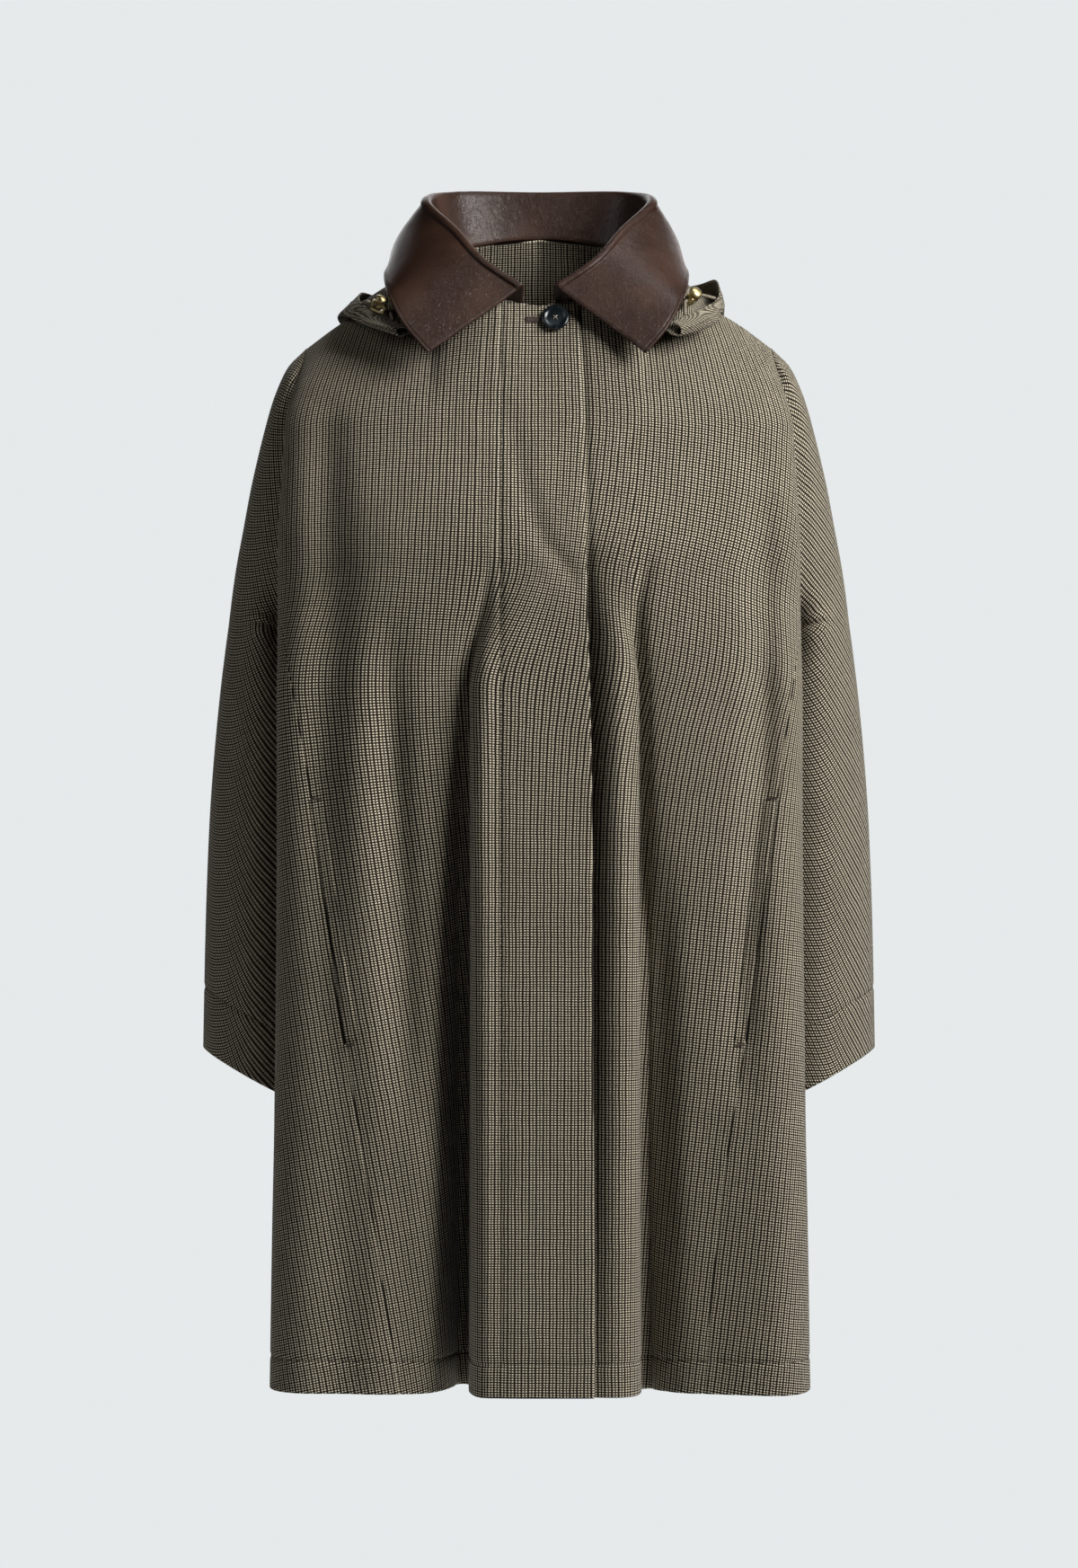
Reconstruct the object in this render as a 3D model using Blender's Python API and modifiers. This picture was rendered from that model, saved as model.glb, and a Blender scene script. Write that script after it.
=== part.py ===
# Cape with dolman sleeves, a laid-back hood and a leather shirt collar, filled out with no wearer.
# Right and left are the wearer's: the wearer faces -Y, and +X is the wearer's left.
# Sizes and tables are in millimetres; points turn to metres when a mesh is made.

import math

import bmesh
import bpy
import numpy as np
from mathutils import Matrix, Vector
from mathutils.bvhtree import BVHTree

MM = 0.001
CLOTH = 1.5             # wall of the wool cloth
LEATHER = 2.4           # wall of the collar, two skins and their padding
SEAM_GAP = 0.3          # between two pieces that are sewn together
FLAT_TRIM = 0.2         # taken off each side of a seam for it
RIDGE_TRIM = 0.5        # and off each side of the shoulder seam, which stands up in a ridge
ROLL_TRIM = 0.9         # and where the pocket seam crosses the rolled edge
CHEST_Z = -120          # level where the yoke ends and the level sections begin
CHEST_STEP = 10         # down from it, to read the slope that carries on into the yoke
ARMPIT_Z = -285
HEM_Z = -903
UNDERLAP = 52           # width of the left front that lies under the right one
UNDERLAP_RISE = (1, 32) # it comes back to its own face between these distances past the overlap
# How far it lies behind the right one's face, which stands open below the bust.
UNDERLAP_DROP = {
    "z":    (-22, -205, -240, -300, -440, -700, HEM_Z),
    "back": (2.3, 2.3, 10, 19, 22, 17, 8),
}
WELT_WIDTH = 9
WELT_FROM_SEAM = 0.8
WELT_TOP_Z = -424
WELT_END_Z = -622
BUTTON_DIAMETER = 22.6
BUTTON_THICKNESS = 3.4
HOLE_DIAMETER = 1.9             # of each of its four holes
HOLE_CIRCLE = 4.6
LOCK_SIZE = (13, 7.5, 8.5)      # along the cord, through the window, along the plunger
LOCK_WINDOW = (8, 3.6)          # oblong window through the lock
LOCK_WINDOW_ROUND = 1.7
LOCK_BORE = 4.8                 # blind bore that the plunger slides in
LOCK_FLOOR = 1.4
LOCK_ROUNDING = 1.4
PLUNGER_CAP = (11, 3.4)         # diameter and height of its dome
PLUNGER_STEM = 4
PLUNGER_TRAVEL = 1.8
PLUNGER_CLEAR = 0.3
DOME_EDGE = 0.3                 # share of the cap's height that is its straight edge
CORD_DIAMETER = 2.6
CORD_CLEAR = 0.6                # between a lock's end and the cord that leaves it
CORD_STRAIGHT = 2.6             # the cord leaves a lock straight for this length
CORD_OVER_RIM = np.array([0, -0.35, 1])     # the way from the rim to its end
CORD_END = 1.5

# Level sections of the body: centre front, the rolled edge in front of the sleeve,
# the side seam, the turn behind the sleeve and centre back.
LEVELS = {
    "z":       (-120, -231, -285, -450, -680, -780, HEM_Z),
    "front_y": (-112, -150, -153, -156, -160, -162, -165),
    "ridge_x": (208, 213, 213, 213, 215, 217, 219),
    "ridge_y": (-55, -74, -74, -74, -74, -74, -74),
    "roll":    (5, 8, 8, 9, 10, 10, 10),
    "side_x":  (196, 189, 187, 166, 172, 205, 214),
    "side_y":  (0, 6, 8, 10, 10, 5, 0),
    "rear_x":  (203, 200, 196, 184, 190, 204, 208),
    "rear_y":  (46, 58, 60, 62, 62, 60, 55),
    "back_y":  (104, 118, 121, 124, 127, 128, 130),
}

# The three deep folds of the front at the hem, from the wearer's right to left.
FRONT_FOLDS = {
    "crest_x":      (-140, 14, 165),
    "crest_y":      (-142, -165, -142),
    "right_reach":  (81, 71, 71),
    "right_depth":  (68, 92, 40),
    "right_square": (2.6, 5.0, 1.7),
    "left_reach":   (71, 69, 57),
    "left_depth":   (69, 63, 68),
    "left_square":  (1.6, 4.0, 2.4),
}
FOLD_START_Z = -228     # the folds break out just below the bust
FOLD_SPREAD_Z = -340    # and stand at their full spacing from here down
FOLD_GROWTH = 0.9       # below 1, so that they deepen a little faster at first
ROLL_SHARE = 0.3        # share of the way from the rolled edge to the side seam that is the roll
BUST_VALLEYS = (-42, 68)
BACK_FOLDS = 5
BACK_FOLD_DEPTH = 26

# How far round behind the rolled edge the armhole runs, in front and at the back.
ARMHOLE = {
    "z":     (-120, -215, -255, -285),
    "front": (0.32, 0.34, 0.52, 1.0),
    "back":  (0.12, 0.15, 0.50, 1.0),
}

# The slanted pocket seam, by the distance of its two sides from the centre.
POCKET_SEAM = {
    "z":     (-285, -424, -622, -736, HEM_Z),
    "right": (208, 184, 155, 138, 112),
    "left":  (212, 192, 166, 148, 132),
}
POCKET_SEAM_TOP_Z = -230

# Edge of the right front, which overlaps the left one.
OVERLAP = {
    "z": (-22, -81, -180, -433, HEM_Z),
    "x": (30, 34, 36, 42, 44),
}

# Half of the neck seam, from centre front to centre back, and of the shoulder seam.
NECK = ((0, -76, -22), (45, -65, -12), (70, -36, 4), (80, 6, 18), (60, 46, 36), (0, 66, 46))
SHOULDER = ((80, 6, 18), (130, 3, -11), (165, 1, -31), (192, 0, -51))
NECK_CHEST_X = 90       # chest point below the place where neck and shoulder seam meet
# How the cloth of the front arrives at its top edge; the back's arrives the other way.
PULLS = {"centre": np.array([0, 25, 60]), "neck": np.array([0, 90, 24]), "shoulder": np.array([0, 60, 4])}

# Sleeve rings from the shoulder down to the cuff. The front and back ends follow the armhole.
SLEEVE = {
    "end_z":   (-74, -86, -102, -124, -152, -190, -240, -285, -330, -430, -530, -631),
    "out_z":   (-53, -64, -83, -110, -144, -188, -240, -285, -330, -430, -530, -631),
    "out_x":   (194, 206, 216, 225, 234, 243, 253, 259, 265, 274, 278, 280),
    "out_y":   (0, 1, 2, 4, 8, 14, 20, 24, 26, 30, 30, 30),
    "front_x": (196, 203, 210, 217, 222, 226, 228, 228, 228, 230, 232, 233),
    "front_y": (-26, -30, -34, -38, -41, -43, -44, -45, -46, -46, -46, -46),
    "rear_x":  (196, 203, 209, 216, 222, 228, 232, 234, 235, 236, 237, 238),
    "rear_y":  (28, 36, 44, 55, 68, 82, 98, 110, 117, 124, 126, 128),
}
SLEEVE_IN_X = 189       # underarm seam of the sleeve, and its inner side before and behind it
SLEEVE_IN_Y = 8
SLEEVE_IN_FRONT = (195, -30)
SLEEVE_IN_REAR = (201, 72)
FOLD_FADE_Z = -53       # the fold between body and sleeve fades out here, at the shoulder
FOLD_FULL_Z = -92
UNDERARM_TOP_Z = -250   # from here to the second height its inner side closes in on the seam
UNDERARM_END_Z = -340
CUFF_SLOPE = 0.53       # the cuff runs lower toward the body
# How a ring's front and rear corners are cut: shares of the way in from its outside, and along it.
CORNER_IN = 0.28
FRONT_CORNER = 0.38
REAR_CORNER = 0.32

# Collar stations from the front end to centre back: neck seam, roll line and free edge.
COLLAR = {
    "seam_x": (14, 45, 66, 80, 60, 0),
    "seam_y": (-74.5, -65, -43, 6, 46, 66),
    "seam_z": (-18.4, -10, 2.2, 19.5, 37.2, 47.1),
    "roll_x": (15, 46, 68, 95, 73, 0),
    "roll_y": (-86, -76, -48, 5, 52, 74),
    "roll_z": (-6, 16, 43, 74, 84, 86),
    "edge_x": (87, 104, 117, 122, 98, 0),
    "edge_y": (-108, -100, -80, -14, 78, 102),
    "edge_z": (-57, -36, -12, 14, 20, 26),
}
COLLAR_RIGHT_WIDER = 1.035
COLLAR_BULGE = {"right": 10, "left": 4}      # how far the fall stands out between roll and edge

# Hood stations from its front tip to centre back: the neck seam, the layer that lies on the
# shoulder, its outer turn, and the rim of the hood's mouth.
HOOD = {
    "neck_x":  (95, 96, 91, 89, 72, 38, 0),
    "neck_y":  (-72, -56, -30, 5, 52, 68, 74),
    "neck_z":  (-32, -4, 14, 23, 33, 42, 44),
    "under_x": (101, 112, 117, 120, 104, 62, 0),
    "under_y": (-78, -60, -33, 2, 66, 98, 110),
    "under_z": (-39, -15, -1, 3, -2, -20, -34),
    "base_x":  (107, 128, 132, 136, 132, 92, 0),
    "base_y":  (-85, -64, -38, 0, 70, 130, 134),
    "base_z":  (-45, -31, -19, -8, -30, -112, -196),
    "turn_x":  (115, 141, 148, 152, 150, 104, 0),
    "turn_y":  (-88, -66, -38, 0, 76, 160, 184),
    "turn_z":  (-44, -35, -24, -17, -33, -104, -176),
    "rim_x":   (109, 131, 147, 147, 132, 84, 0),
    "rim_y":   (-86, -71, -46, -14, 48, 116, 150),
    "rim_z":   (-36, -25, -13, 4, 6, 2, -8),
}
HOOD_RIGHT_RIM = (-4, -5, -3, -10, -10, -4, 0)  # how much lower the rim's right half lies
HOOD_RIGHT_OUT = (0, 2, 9, 14, 7, 0, 0)         # how much further out its base and turn lie there
HOOD_RIGHT_DROP = (0, 0, -2, -7, -2, 0, 0)      # and how much lower

BUTTON_AT = (13.4, -33.6)           # x and z of its centre
BUTTONHOLE_REACH = 24               # from the binding's outer end to the button's centre
BUTTONHOLE_WIDTH = 3.2
TRIM_LIFT = 0.6                     # between a panel and the trim that lies on it
TRIM_THICKNESS = 0.7

# Cord locks, by centre and by the way the plunger points. The cord runs from each end of a lock to
# the hood's rim, at two places that count the rim's stations from the front tip.
LOCKS = {
    "side":      ("left", "right"),
    "x":         (125, -131),
    "y":         (-70, -70),
    "z":         (-15, -22),
    "point_x":   (0.45, 0.40),
    "point_y":   (-0.65, -0.35),
    "point_z":   (0.61, 0.85),
    "cord_x":    (0.57, -0.88),
    "cord_y":    (0.73, 0.0),
    "cord_z":    (0.36, 0.47),
    "low_rim":   (0.45, 0.45),
    "high_rim":  (1.85, 1.85),
}

# Colour, roughness and metal of what the pieces are made of.
FINISHES = {
    "cloth":   ((0.115, 0.098, 0.076, 1), 0.9, 0.0),
    "leather": ((0.060, 0.030, 0.021, 1), 0.45, 0.0),
    "horn":    ((0.012, 0.014, 0.019, 1), 0.3, 0.0),
    "brass":   ((0.42, 0.31, 0.16, 1), 0.35, 1.0),
    "cord":    ((0.10, 0.075, 0.05, 1), 0.8, 0.0),
    "binding": ((0.05, 0.028, 0.020, 1), 0.6, 0.0),
}


def cubic(at, values, where):
    """Smooth curve through rising places, which never overshoots its rows."""
    at = np.asarray(at, float)
    values = np.asarray(values, float)
    step = np.diff(at)
    slope = np.diff(values) / step
    tangent = np.zeros(len(at))
    tangent[0] = slope[0]
    tangent[-1] = slope[-1]
    for i in range(1, len(at) - 1):
        if slope[i - 1] * slope[i] > 0:
            tangent[i] = 2 * slope[i - 1] * slope[i] / (slope[i - 1] + slope[i])
    where = np.clip(where, at[0], at[-1])
    i = np.clip(np.searchsorted(at, where) - 1, 0, len(at) - 2)
    t = (where - at[i]) / step[i]
    rise = values[i + 1] - values[i]
    start = tangent[i] * step[i]
    end = tangent[i + 1] * step[i]
    return values[i] + start * t + (3 * rise - 2 * start - end) * t**2 + (start + end - 2 * rise) * t**3


def by_height(table, name, z):
    """A table's column at the height z; its rows run from the top down."""
    return cubic(-np.asarray(table["z"], float), table[name], -np.asarray(z, float))


def ease(t):
    t = np.clip(t, 0, 1)
    return t * t * (3 - 2 * t)


def through(points, count=None, at=None):
    """Smooth curve through points, read at even lengths or at the given shares of its length."""
    points = np.asarray(points, float)
    gaps = np.linalg.norm(np.diff(points, axis=0), axis=1) + 1e-6
    knots = np.concatenate(([0], np.cumsum(np.sqrt(gaps))))
    tangents = np.gradient(points, knots, axis=0)
    t = np.linspace(0, knots[-1], 24 * len(points))
    i = np.clip(np.searchsorted(knots, t, "right") - 1, 0, len(points) - 2)
    width = (knots[i + 1] - knots[i])[:, None]
    s = (t - knots[i])[:, None] / width
    fine = ((1 + 2 * s) * (1 - s)**2 * points[i] + s * (1 - s)**2 * width * tangents[i]
            + s * s * (3 - 2 * s) * points[i + 1] + s * s * (s - 1) * width * tangents[i + 1])
    length = np.concatenate(([0], np.cumsum(np.linalg.norm(np.diff(fine, axis=0), axis=1))))
    share = np.linspace(0, 1, count) if at is None else np.asarray(at, float)
    return np.stack([np.interp(share * length[-1], length, fine[:, k]) for k in range(3)], axis=-1)


# How many points read a seam, a level and a stretch of the front that is searched.
SEAM_POINTS = 60
CHEST_POINTS = 300
SEARCH_POINTS = 60


# The folds of the front hem, as one curve of eight stretches: each fold has a right and a left half,
# and a narrow round valley lies between two folds.
FOLD_STRETCHES = 8


FOLD_POINTS = 400       # points that draw a stretch, before it is read at even lengths
PER_STRETCH = 40


def fold_half(fold, side):
    """Half of a fold from its crest outward, as points in plan."""
    power = 2 / FRONT_FOLDS[side + "_square"][fold]
    away = -1 if side == "right" else 1
    angle = np.linspace(0, math.pi / 2, FOLD_POINTS)
    x = FRONT_FOLDS["crest_x"][fold] + away * FRONT_FOLDS[side + "_reach"][fold] * np.sin(angle)**power
    y = FRONT_FOLDS["crest_y"][fold] + FRONT_FOLDS[side + "_depth"][fold] * (1 - np.abs(np.cos(angle))**power)
    return np.stack([x, y], axis=-1)


def valley_between(start, end):
    turn = np.linspace(0, math.pi, FOLD_POINTS)[:, None]
    bulge = np.array([0, 0.5 * abs(end[0] - start[0])]) * np.sin(turn)
    return start + (end - start) * (1 - np.cos(turn)) / 2 + bulge


def hem_curve():
    stretches = []
    for fold in range(3):
        stretches += [fold_half(fold, "right")[::-1], fold_half(fold, "left")]
        if fold < 2:
            stretches.append(valley_between(stretches[-1][-1], fold_half(fold + 1, "right")[-1]))
    t = np.linspace(0, 1, PER_STRETCH + 1)
    even = []
    for line in stretches:
        length = np.concatenate(([0], np.cumsum(np.linalg.norm(np.diff(line, axis=0), axis=1))))
        even.append(np.stack([np.interp(t * length[-1], length, axis) for axis in line.T]))
    place = np.concatenate([stretch + t for stretch in range(FOLD_STRETCHES)])
    return place, *np.concatenate(even, axis=1)


HEM_PLACE, HEM_X, HEM_Y = hem_curve()
VALLEYS = (2.5, 5.5)
HEM_LENGTH = np.concatenate(([0], np.cumsum(np.hypot(np.diff(HEM_X), np.diff(HEM_Y)))))


def front_row(place, z):
    """Points of the front at one level. Places 0 to 8 run across the folds; the rolled edge and the way
    back to the side seam lie within 1 of either end."""
    place = np.asarray(place, float)
    level = {name: float(by_height(LEVELS, name, z)) for name in LEVELS if name != "z"}
    spread = ease((FOLD_START_Z - z) / (FOLD_START_Z - FOLD_SPREAD_Z))
    depth = np.clip((FOLD_START_Z - z) / (FOLD_START_Z - HEM_Z), 0, 1)**FOLD_GROWTH
    inner = np.clip(place, 0, FOLD_STRETCHES)
    fold_x = np.interp(inner, HEM_PLACE, HEM_X) / abs(HEM_X[0]) * level["ridge_x"]
    fold_y = np.interp(inner, HEM_PLACE, HEM_Y)
    along = np.interp(inner, HEM_PLACE, HEM_LENGTH)
    limits = np.interp([0, *VALLEYS, FOLD_STRETCHES], HEM_PLACE, HEM_LENGTH)
    plain_x = np.interp(along, limits, [-level["ridge_x"], *BUST_VALLEYS, level["ridge_x"]])
    share = np.clip(np.abs(plain_x) / level["ridge_x"], 0, 1)
    plain_y = level["ridge_y"] - (level["ridge_y"] - level["front_y"]) * np.sqrt(1 - share**2)
    x = plain_x + (fold_x - plain_x) * spread
    y = plain_y + (fold_y - plain_y) * depth
    past = np.maximum(-place, place - FOLD_STRETCHES)
    side = np.where(place < 0, -1.0, 1.0)
    roll = level["roll"]
    angle = np.clip(past / ROLL_SHARE, 0, 1) * math.pi / 2
    back = np.clip((past - ROLL_SHARE) / (1 - ROLL_SHARE), 0, 1) * math.pi / 2
    past_x = level["ridge_x"] - roll * (1 - np.cos(angle))
    past_x = past_x - (level["ridge_x"] - roll - level["side_x"]) * np.sin(back)
    past_y = level["ridge_y"] + roll * np.sin(angle)
    past_y = past_y + (level["side_y"] - level["ridge_y"] - roll) * (1 - np.cos(back))
    x = np.where(past > 0, side * past_x, x)
    y = np.where(past > 0, past_y, y)
    return np.stack([x, y, np.full_like(x, z)], axis=-1)


REAR_TURN = 0.75        # place on the back where it turns forward to the side seam


def back_row(place, z):
    """Points of the back at one level, from -1 at the right side seam to 1 at the left one."""
    place = np.asarray(place, float)
    level = {name: float(by_height(LEVELS, name, z)) for name in LEVELS if name != "z"}
    angle = np.clip(np.abs(place) / REAR_TURN, 0, 1) * math.pi / 2
    x = level["rear_x"] * np.sin(angle)
    y = level["rear_y"] + (level["back_y"] - level["rear_y"]) * np.cos(angle)
    opened = np.clip((FOLD_START_Z - z) / (FOLD_START_Z - HEM_Z), 0, 1)
    wave = 0.5 - 0.5 * np.cos(2 * math.pi * BACK_FOLDS * 0.5 * (place / REAR_TURN + 1))
    y = y - BACK_FOLD_DEPTH * opened * wave * np.cos(angle)**0.5
    past = np.clip((np.abs(place) - REAR_TURN) / (1 - REAR_TURN), 0, 1)
    x = np.where(past > 0, level["rear_x"] - (level["rear_x"] - level["side_x"]) * ease(past), x)
    y = np.where(past > 0, level["rear_y"] + (level["side_y"] - level["rear_y"]) * past, y)
    return np.stack([np.where(place < 0, -x, x), y, np.full_like(x, z)], axis=-1)


def place_at(x, z, low, high):
    """Where on the front the distance x lies, within a stretch that runs steadily across."""
    places = np.linspace(low, high, SEARCH_POINTS)
    xs = front_row(places, z)[:, 0]
    return float(np.interp(x, xs, places))


def armhole(name, z):
    return float(by_height(ARMHOLE, name, max(z, ARMPIT_Z)))


def panel_border(side, z):
    """Outer edge of a front: the armhole, then the pocket seam. Counted from the ridge inward."""
    if z > POCKET_SEAM_TOP_Z:
        return -armhole("front", z)
    top = POCKET_SEAM["z"][0]
    if z > top:
        share = (POCKET_SEAM_TOP_Z - z) / (POCKET_SEAM_TOP_Z - top)
        start = -armhole("front", POCKET_SEAM_TOP_Z)
        return start + (panel_border(side, top) - start) * share
    x = float(by_height(POCKET_SEAM, side, z))
    if side == "right":
        return place_at(-x, z, 0, 2)
    return FOLD_STRETCHES - place_at(x, z, 6, FOLD_STRETCHES)


def back_border(z):
    """Outer edge of the back: the armhole, then the side seam."""
    return REAR_TURN + (1 - REAR_TURN) * armhole("back", z)


def chest_line(face):
    """Half of the chest level from the centre to the armhole, on the wearer's left, and its length."""
    if face == "front":
        centre = place_at(0, CHEST_Z, 3, 5)
        line = front_row(np.linspace(centre, FOLD_STRETCHES + armhole("front", CHEST_Z), CHEST_POINTS),
                         CHEST_Z)
    else:
        line = back_row(np.linspace(0, back_border(CHEST_Z), CHEST_POINTS), CHEST_Z)
    steps = np.linalg.norm(np.diff(line, axis=0), axis=1)
    return line, np.concatenate(([0], np.cumsum(steps)))


def top_edge(face, chest):
    """Points of the neck and shoulder seam above chest points, and how the cloth arrives there."""
    seam = through(NECK[:4] if face == "front" else NECK[:2:-1], SEAM_POINTS)
    line, length = chest_line(face)
    widest = np.argmax(line[:, 0])
    neck_reach = np.interp(NECK_CHEST_X, line[:widest, 0], length[:widest])
    tops = []
    pulls = []
    for point in chest:
        side = -1 if point[0] < 0 else 1
        along = length[np.argmin(np.linalg.norm(line - point * (side, 1, 1), axis=1))]
        if along <= neck_reach:
            share = along / neck_reach
            x = NECK[3][0] * share
            top = np.array([np.interp(x, seam[:, 0], seam[:, k]) for k in range(3)])
            pull = PULLS["centre"] + (PULLS["neck"] - PULLS["centre"]) * share
        else:
            share = (along - neck_reach) / (length[-1] - neck_reach)
            top = through(SHOULDER, at=[share])[0]
            pull = PULLS["neck"] + (PULLS["shoulder"] - PULLS["neck"]) * share
        tops.append(top * (side, 1, 1))
        pulls.append(pull if face == "front" else pull * (1, -1, 1))
    return np.array(tops), np.array(pulls)


YOKE_RISE = 0.9         # how strongly the chest's own slope carries on into the yoke


def yoke_row(chest, below, tops, pulls, t):
    """Points at the share t of the way down from a top edge to the chest level."""
    rise = chest - below
    rise = rise / np.abs(rise[:, 2:]) * (tops - chest)[:, 2:] * YOKE_RISE
    u = 1 - t
    return ((1 + 2 * u) * (1 - u)**2 * chest + u * (1 - u)**2 * rise
            + u * u * (3 - 2 * u) * tops + u * u * (u - 1) * pulls)


# Heights of the grid rows. The seam rows are shared by the pieces on both sides of a seam.
YOKE_ROWS = 5
CHEST_ROWS = (-120, -165, -205)
ARMHOLE_ROWS = (-230, -250, -265, -276, -285)
SKIRT_ROWS = (-325, -380, -424, -470, -520, -570, -596, -622, -680, -740, -800, -850, HEM_Z)
POCKET_SEAM_ROWS = (-230, -250, -265, -285) + SKIRT_ROWS
SIDE_SEAM_ROWS = (-285, -295, -305, -315) + SKIRT_ROWS
# Columns of the panels; a front has some on each side of its valley.
RIGHT_COLUMNS = (10, 10)
LEFT_COLUMNS = (7, 10)
SIDE_COLUMNS = 13
BACK_COLUMNS = 21


def front_columns(side, z):
    """Places across a front at one level, from its free edge past its valley to its outer edge."""
    border = panel_border(side, z)
    edge_x = float(by_height(OVERLAP, "x", z))
    if side == "right":
        edge = place_at(edge_x, z, 3, 5)
        valley = 2.0
        inner = np.concatenate((np.linspace(edge, 3, RIGHT_COLUMNS[0]), [2.5]))
        return np.concatenate((inner, np.linspace(valley, border, RIGHT_COLUMNS[1])))
    edge = place_at(edge_x - UNDERLAP, z, 3, 5)
    inner = np.concatenate((np.linspace(edge, 5, LEFT_COLUMNS[0]), [5.5]))
    return np.concatenate((inner, np.linspace(6, FOLD_STRETCHES - border, LEFT_COLUMNS[1])))


def yoke(face, chest, below):
    """Rows from the neck and shoulder seam down to a chest row."""
    tops, pulls = top_edge(face, chest)
    return [yoke_row(chest, below, tops, pulls, k / YOKE_ROWS) for k in range(YOKE_ROWS)]


def front_grid(side):
    rows = [front_row(front_columns(side, z), z) for z in CHEST_ROWS + POCKET_SEAM_ROWS]
    below = front_row(front_columns(side, CHEST_Z), CHEST_Z - CHEST_STEP)
    grid = np.array(yoke("front", rows[0], below) + rows)
    return grid if side == "right" else drop_underlap(grid)


def normals(grid):
    across = np.gradient(grid, axis=1)
    down = np.gradient(grid, axis=0)
    normal = np.cross(across, down)
    return normal / (np.linalg.norm(normal, axis=2, keepdims=True) + 1e-9)


def facing_front(grid):
    normal = normals(grid)
    return np.where(normal[:, :, 1:2] < 0, normal, -normal)


def drop_underlap(grid):
    """Moves the left front behind the right one, and back to its own face past the overlap."""
    edge_x = by_height(OVERLAP, "x", np.minimum(grid[:, :, 2], OVERLAP["z"][0]))
    share = (grid[:, :, 0] - edge_x - UNDERLAP_RISE[0]) / (UNDERLAP_RISE[1] - UNDERLAP_RISE[0])
    past = 1 - np.clip(1 - share, 0, 1)**2
    drop = by_height(UNDERLAP_DROP, "back", grid[:, :, 2])
    return grid + np.array([0, 1, 0]) * (drop * (1 - past))[:, :, None]


def side_grid(side):
    """Side panel from the pocket seam, round the rolled edge, to the side seam."""
    shares = np.linspace(0, 1, SIDE_COLUMNS)
    border = np.array([panel_border(side, z) for z in ARMHOLE_ROWS])
    hole = np.array([armhole("front", z) for z in ARMHOLE_ROWS])
    reach = (border + hole) / (border + 1)
    edge = np.array([body_edge("front", z, z)[0] for z in ARMHOLE_ROWS])
    if side == "right":
        edge[:, 0] *= -1
    rows = [np.stack([np.interp(shares, reach, edge[:, k]) for k in range(3)], axis=-1)]
    for seam_z, side_z in list(zip(POCKET_SEAM_ROWS, SIDE_SEAM_ROWS))[1:]:
        points = []
        for share in shares:
            z = seam_z + (side_z - seam_z) * share
            inner = panel_border(side, z)
            place = inner + (-1 - inner) * share
            if side == "left":
                place = FOLD_STRETCHES - place
            points.append(front_row([place], z)[0])
        rows.append(np.array(points))
    return np.array(rows)


def back_grid():
    rows = []
    shares = np.linspace(-1, 1, BACK_COLUMNS)
    for z in CHEST_ROWS + ARMHOLE_ROWS + SKIRT_ROWS:
        rows.append(back_row(shares * back_border(z), z))
    below = back_row(shares * back_border(CHEST_Z), CHEST_Z - CHEST_STEP)
    return np.array(yoke("back", rows[0], below) + rows)


def body_edge(face, level, z):
    """Point at the height z on the line that leaves the armhole at a level, on the wearer's left."""
    if face == "front":
        return front_row([FOLD_STRETCHES + armhole("front", level)], z)
    return back_row([back_border(level)], z)


SLEEVE_COLUMNS = 21
SLEEVE_ROWS = (-307, -330, -380, -430, -480, -530, -580, -631)
TOP_RING_STEPS = 2      # yoke rows that the sleeve's first ring follows over the shoulder
FOLD_CLEAR = CLOTH + 0.4
SEWN_CLEAR = 0.6
WAY_STEP = 0.02         # step across the body that tells which way it faces


def armhole_line(face):
    """Points of the sleeve's edge along the armhole, from the shoulder to the armpit on the wearer's
    left. They stand off the body's face, less so toward the shoulder."""
    chest = body_edge(face, CHEST_Z, CHEST_Z)
    below = body_edge(face, CHEST_Z, CHEST_Z - CHEST_STEP)
    tops, pulls = top_edge(face, chest)
    line = [yoke_row(chest, below, tops, pulls, k / YOKE_ROWS)[0] for k in range(YOKE_ROWS)]
    line += [body_edge(face, z, z)[0] for z in CHEST_ROWS + ARMHOLE_ROWS]
    ways = []
    for point in line:
        z = min(point[2], CHEST_Z)
        if face == "front":
            place = FOLD_STRETCHES + armhole("front", z)
            along = front_row([place], z)[0] - front_row([place - WAY_STEP], z)[0]
            out = np.array([along[1], -along[0], 0])
        else:
            place = back_border(z)
            along = back_row([place], z)[0] - back_row([place - WAY_STEP], z)[0]
            out = np.array([-along[1], along[0], 0])
        out /= np.linalg.norm(out)
        folded = np.clip((FOLD_FADE_Z - point[2]) / (FOLD_FADE_Z - FOLD_FULL_Z), 0, 1)
        ways.append(out * FOLD_CLEAR * folded + np.array([SEWN_CLEAR, 0, 0]) * (1 - folded))
    return np.array(line) + np.array(ways)


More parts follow.
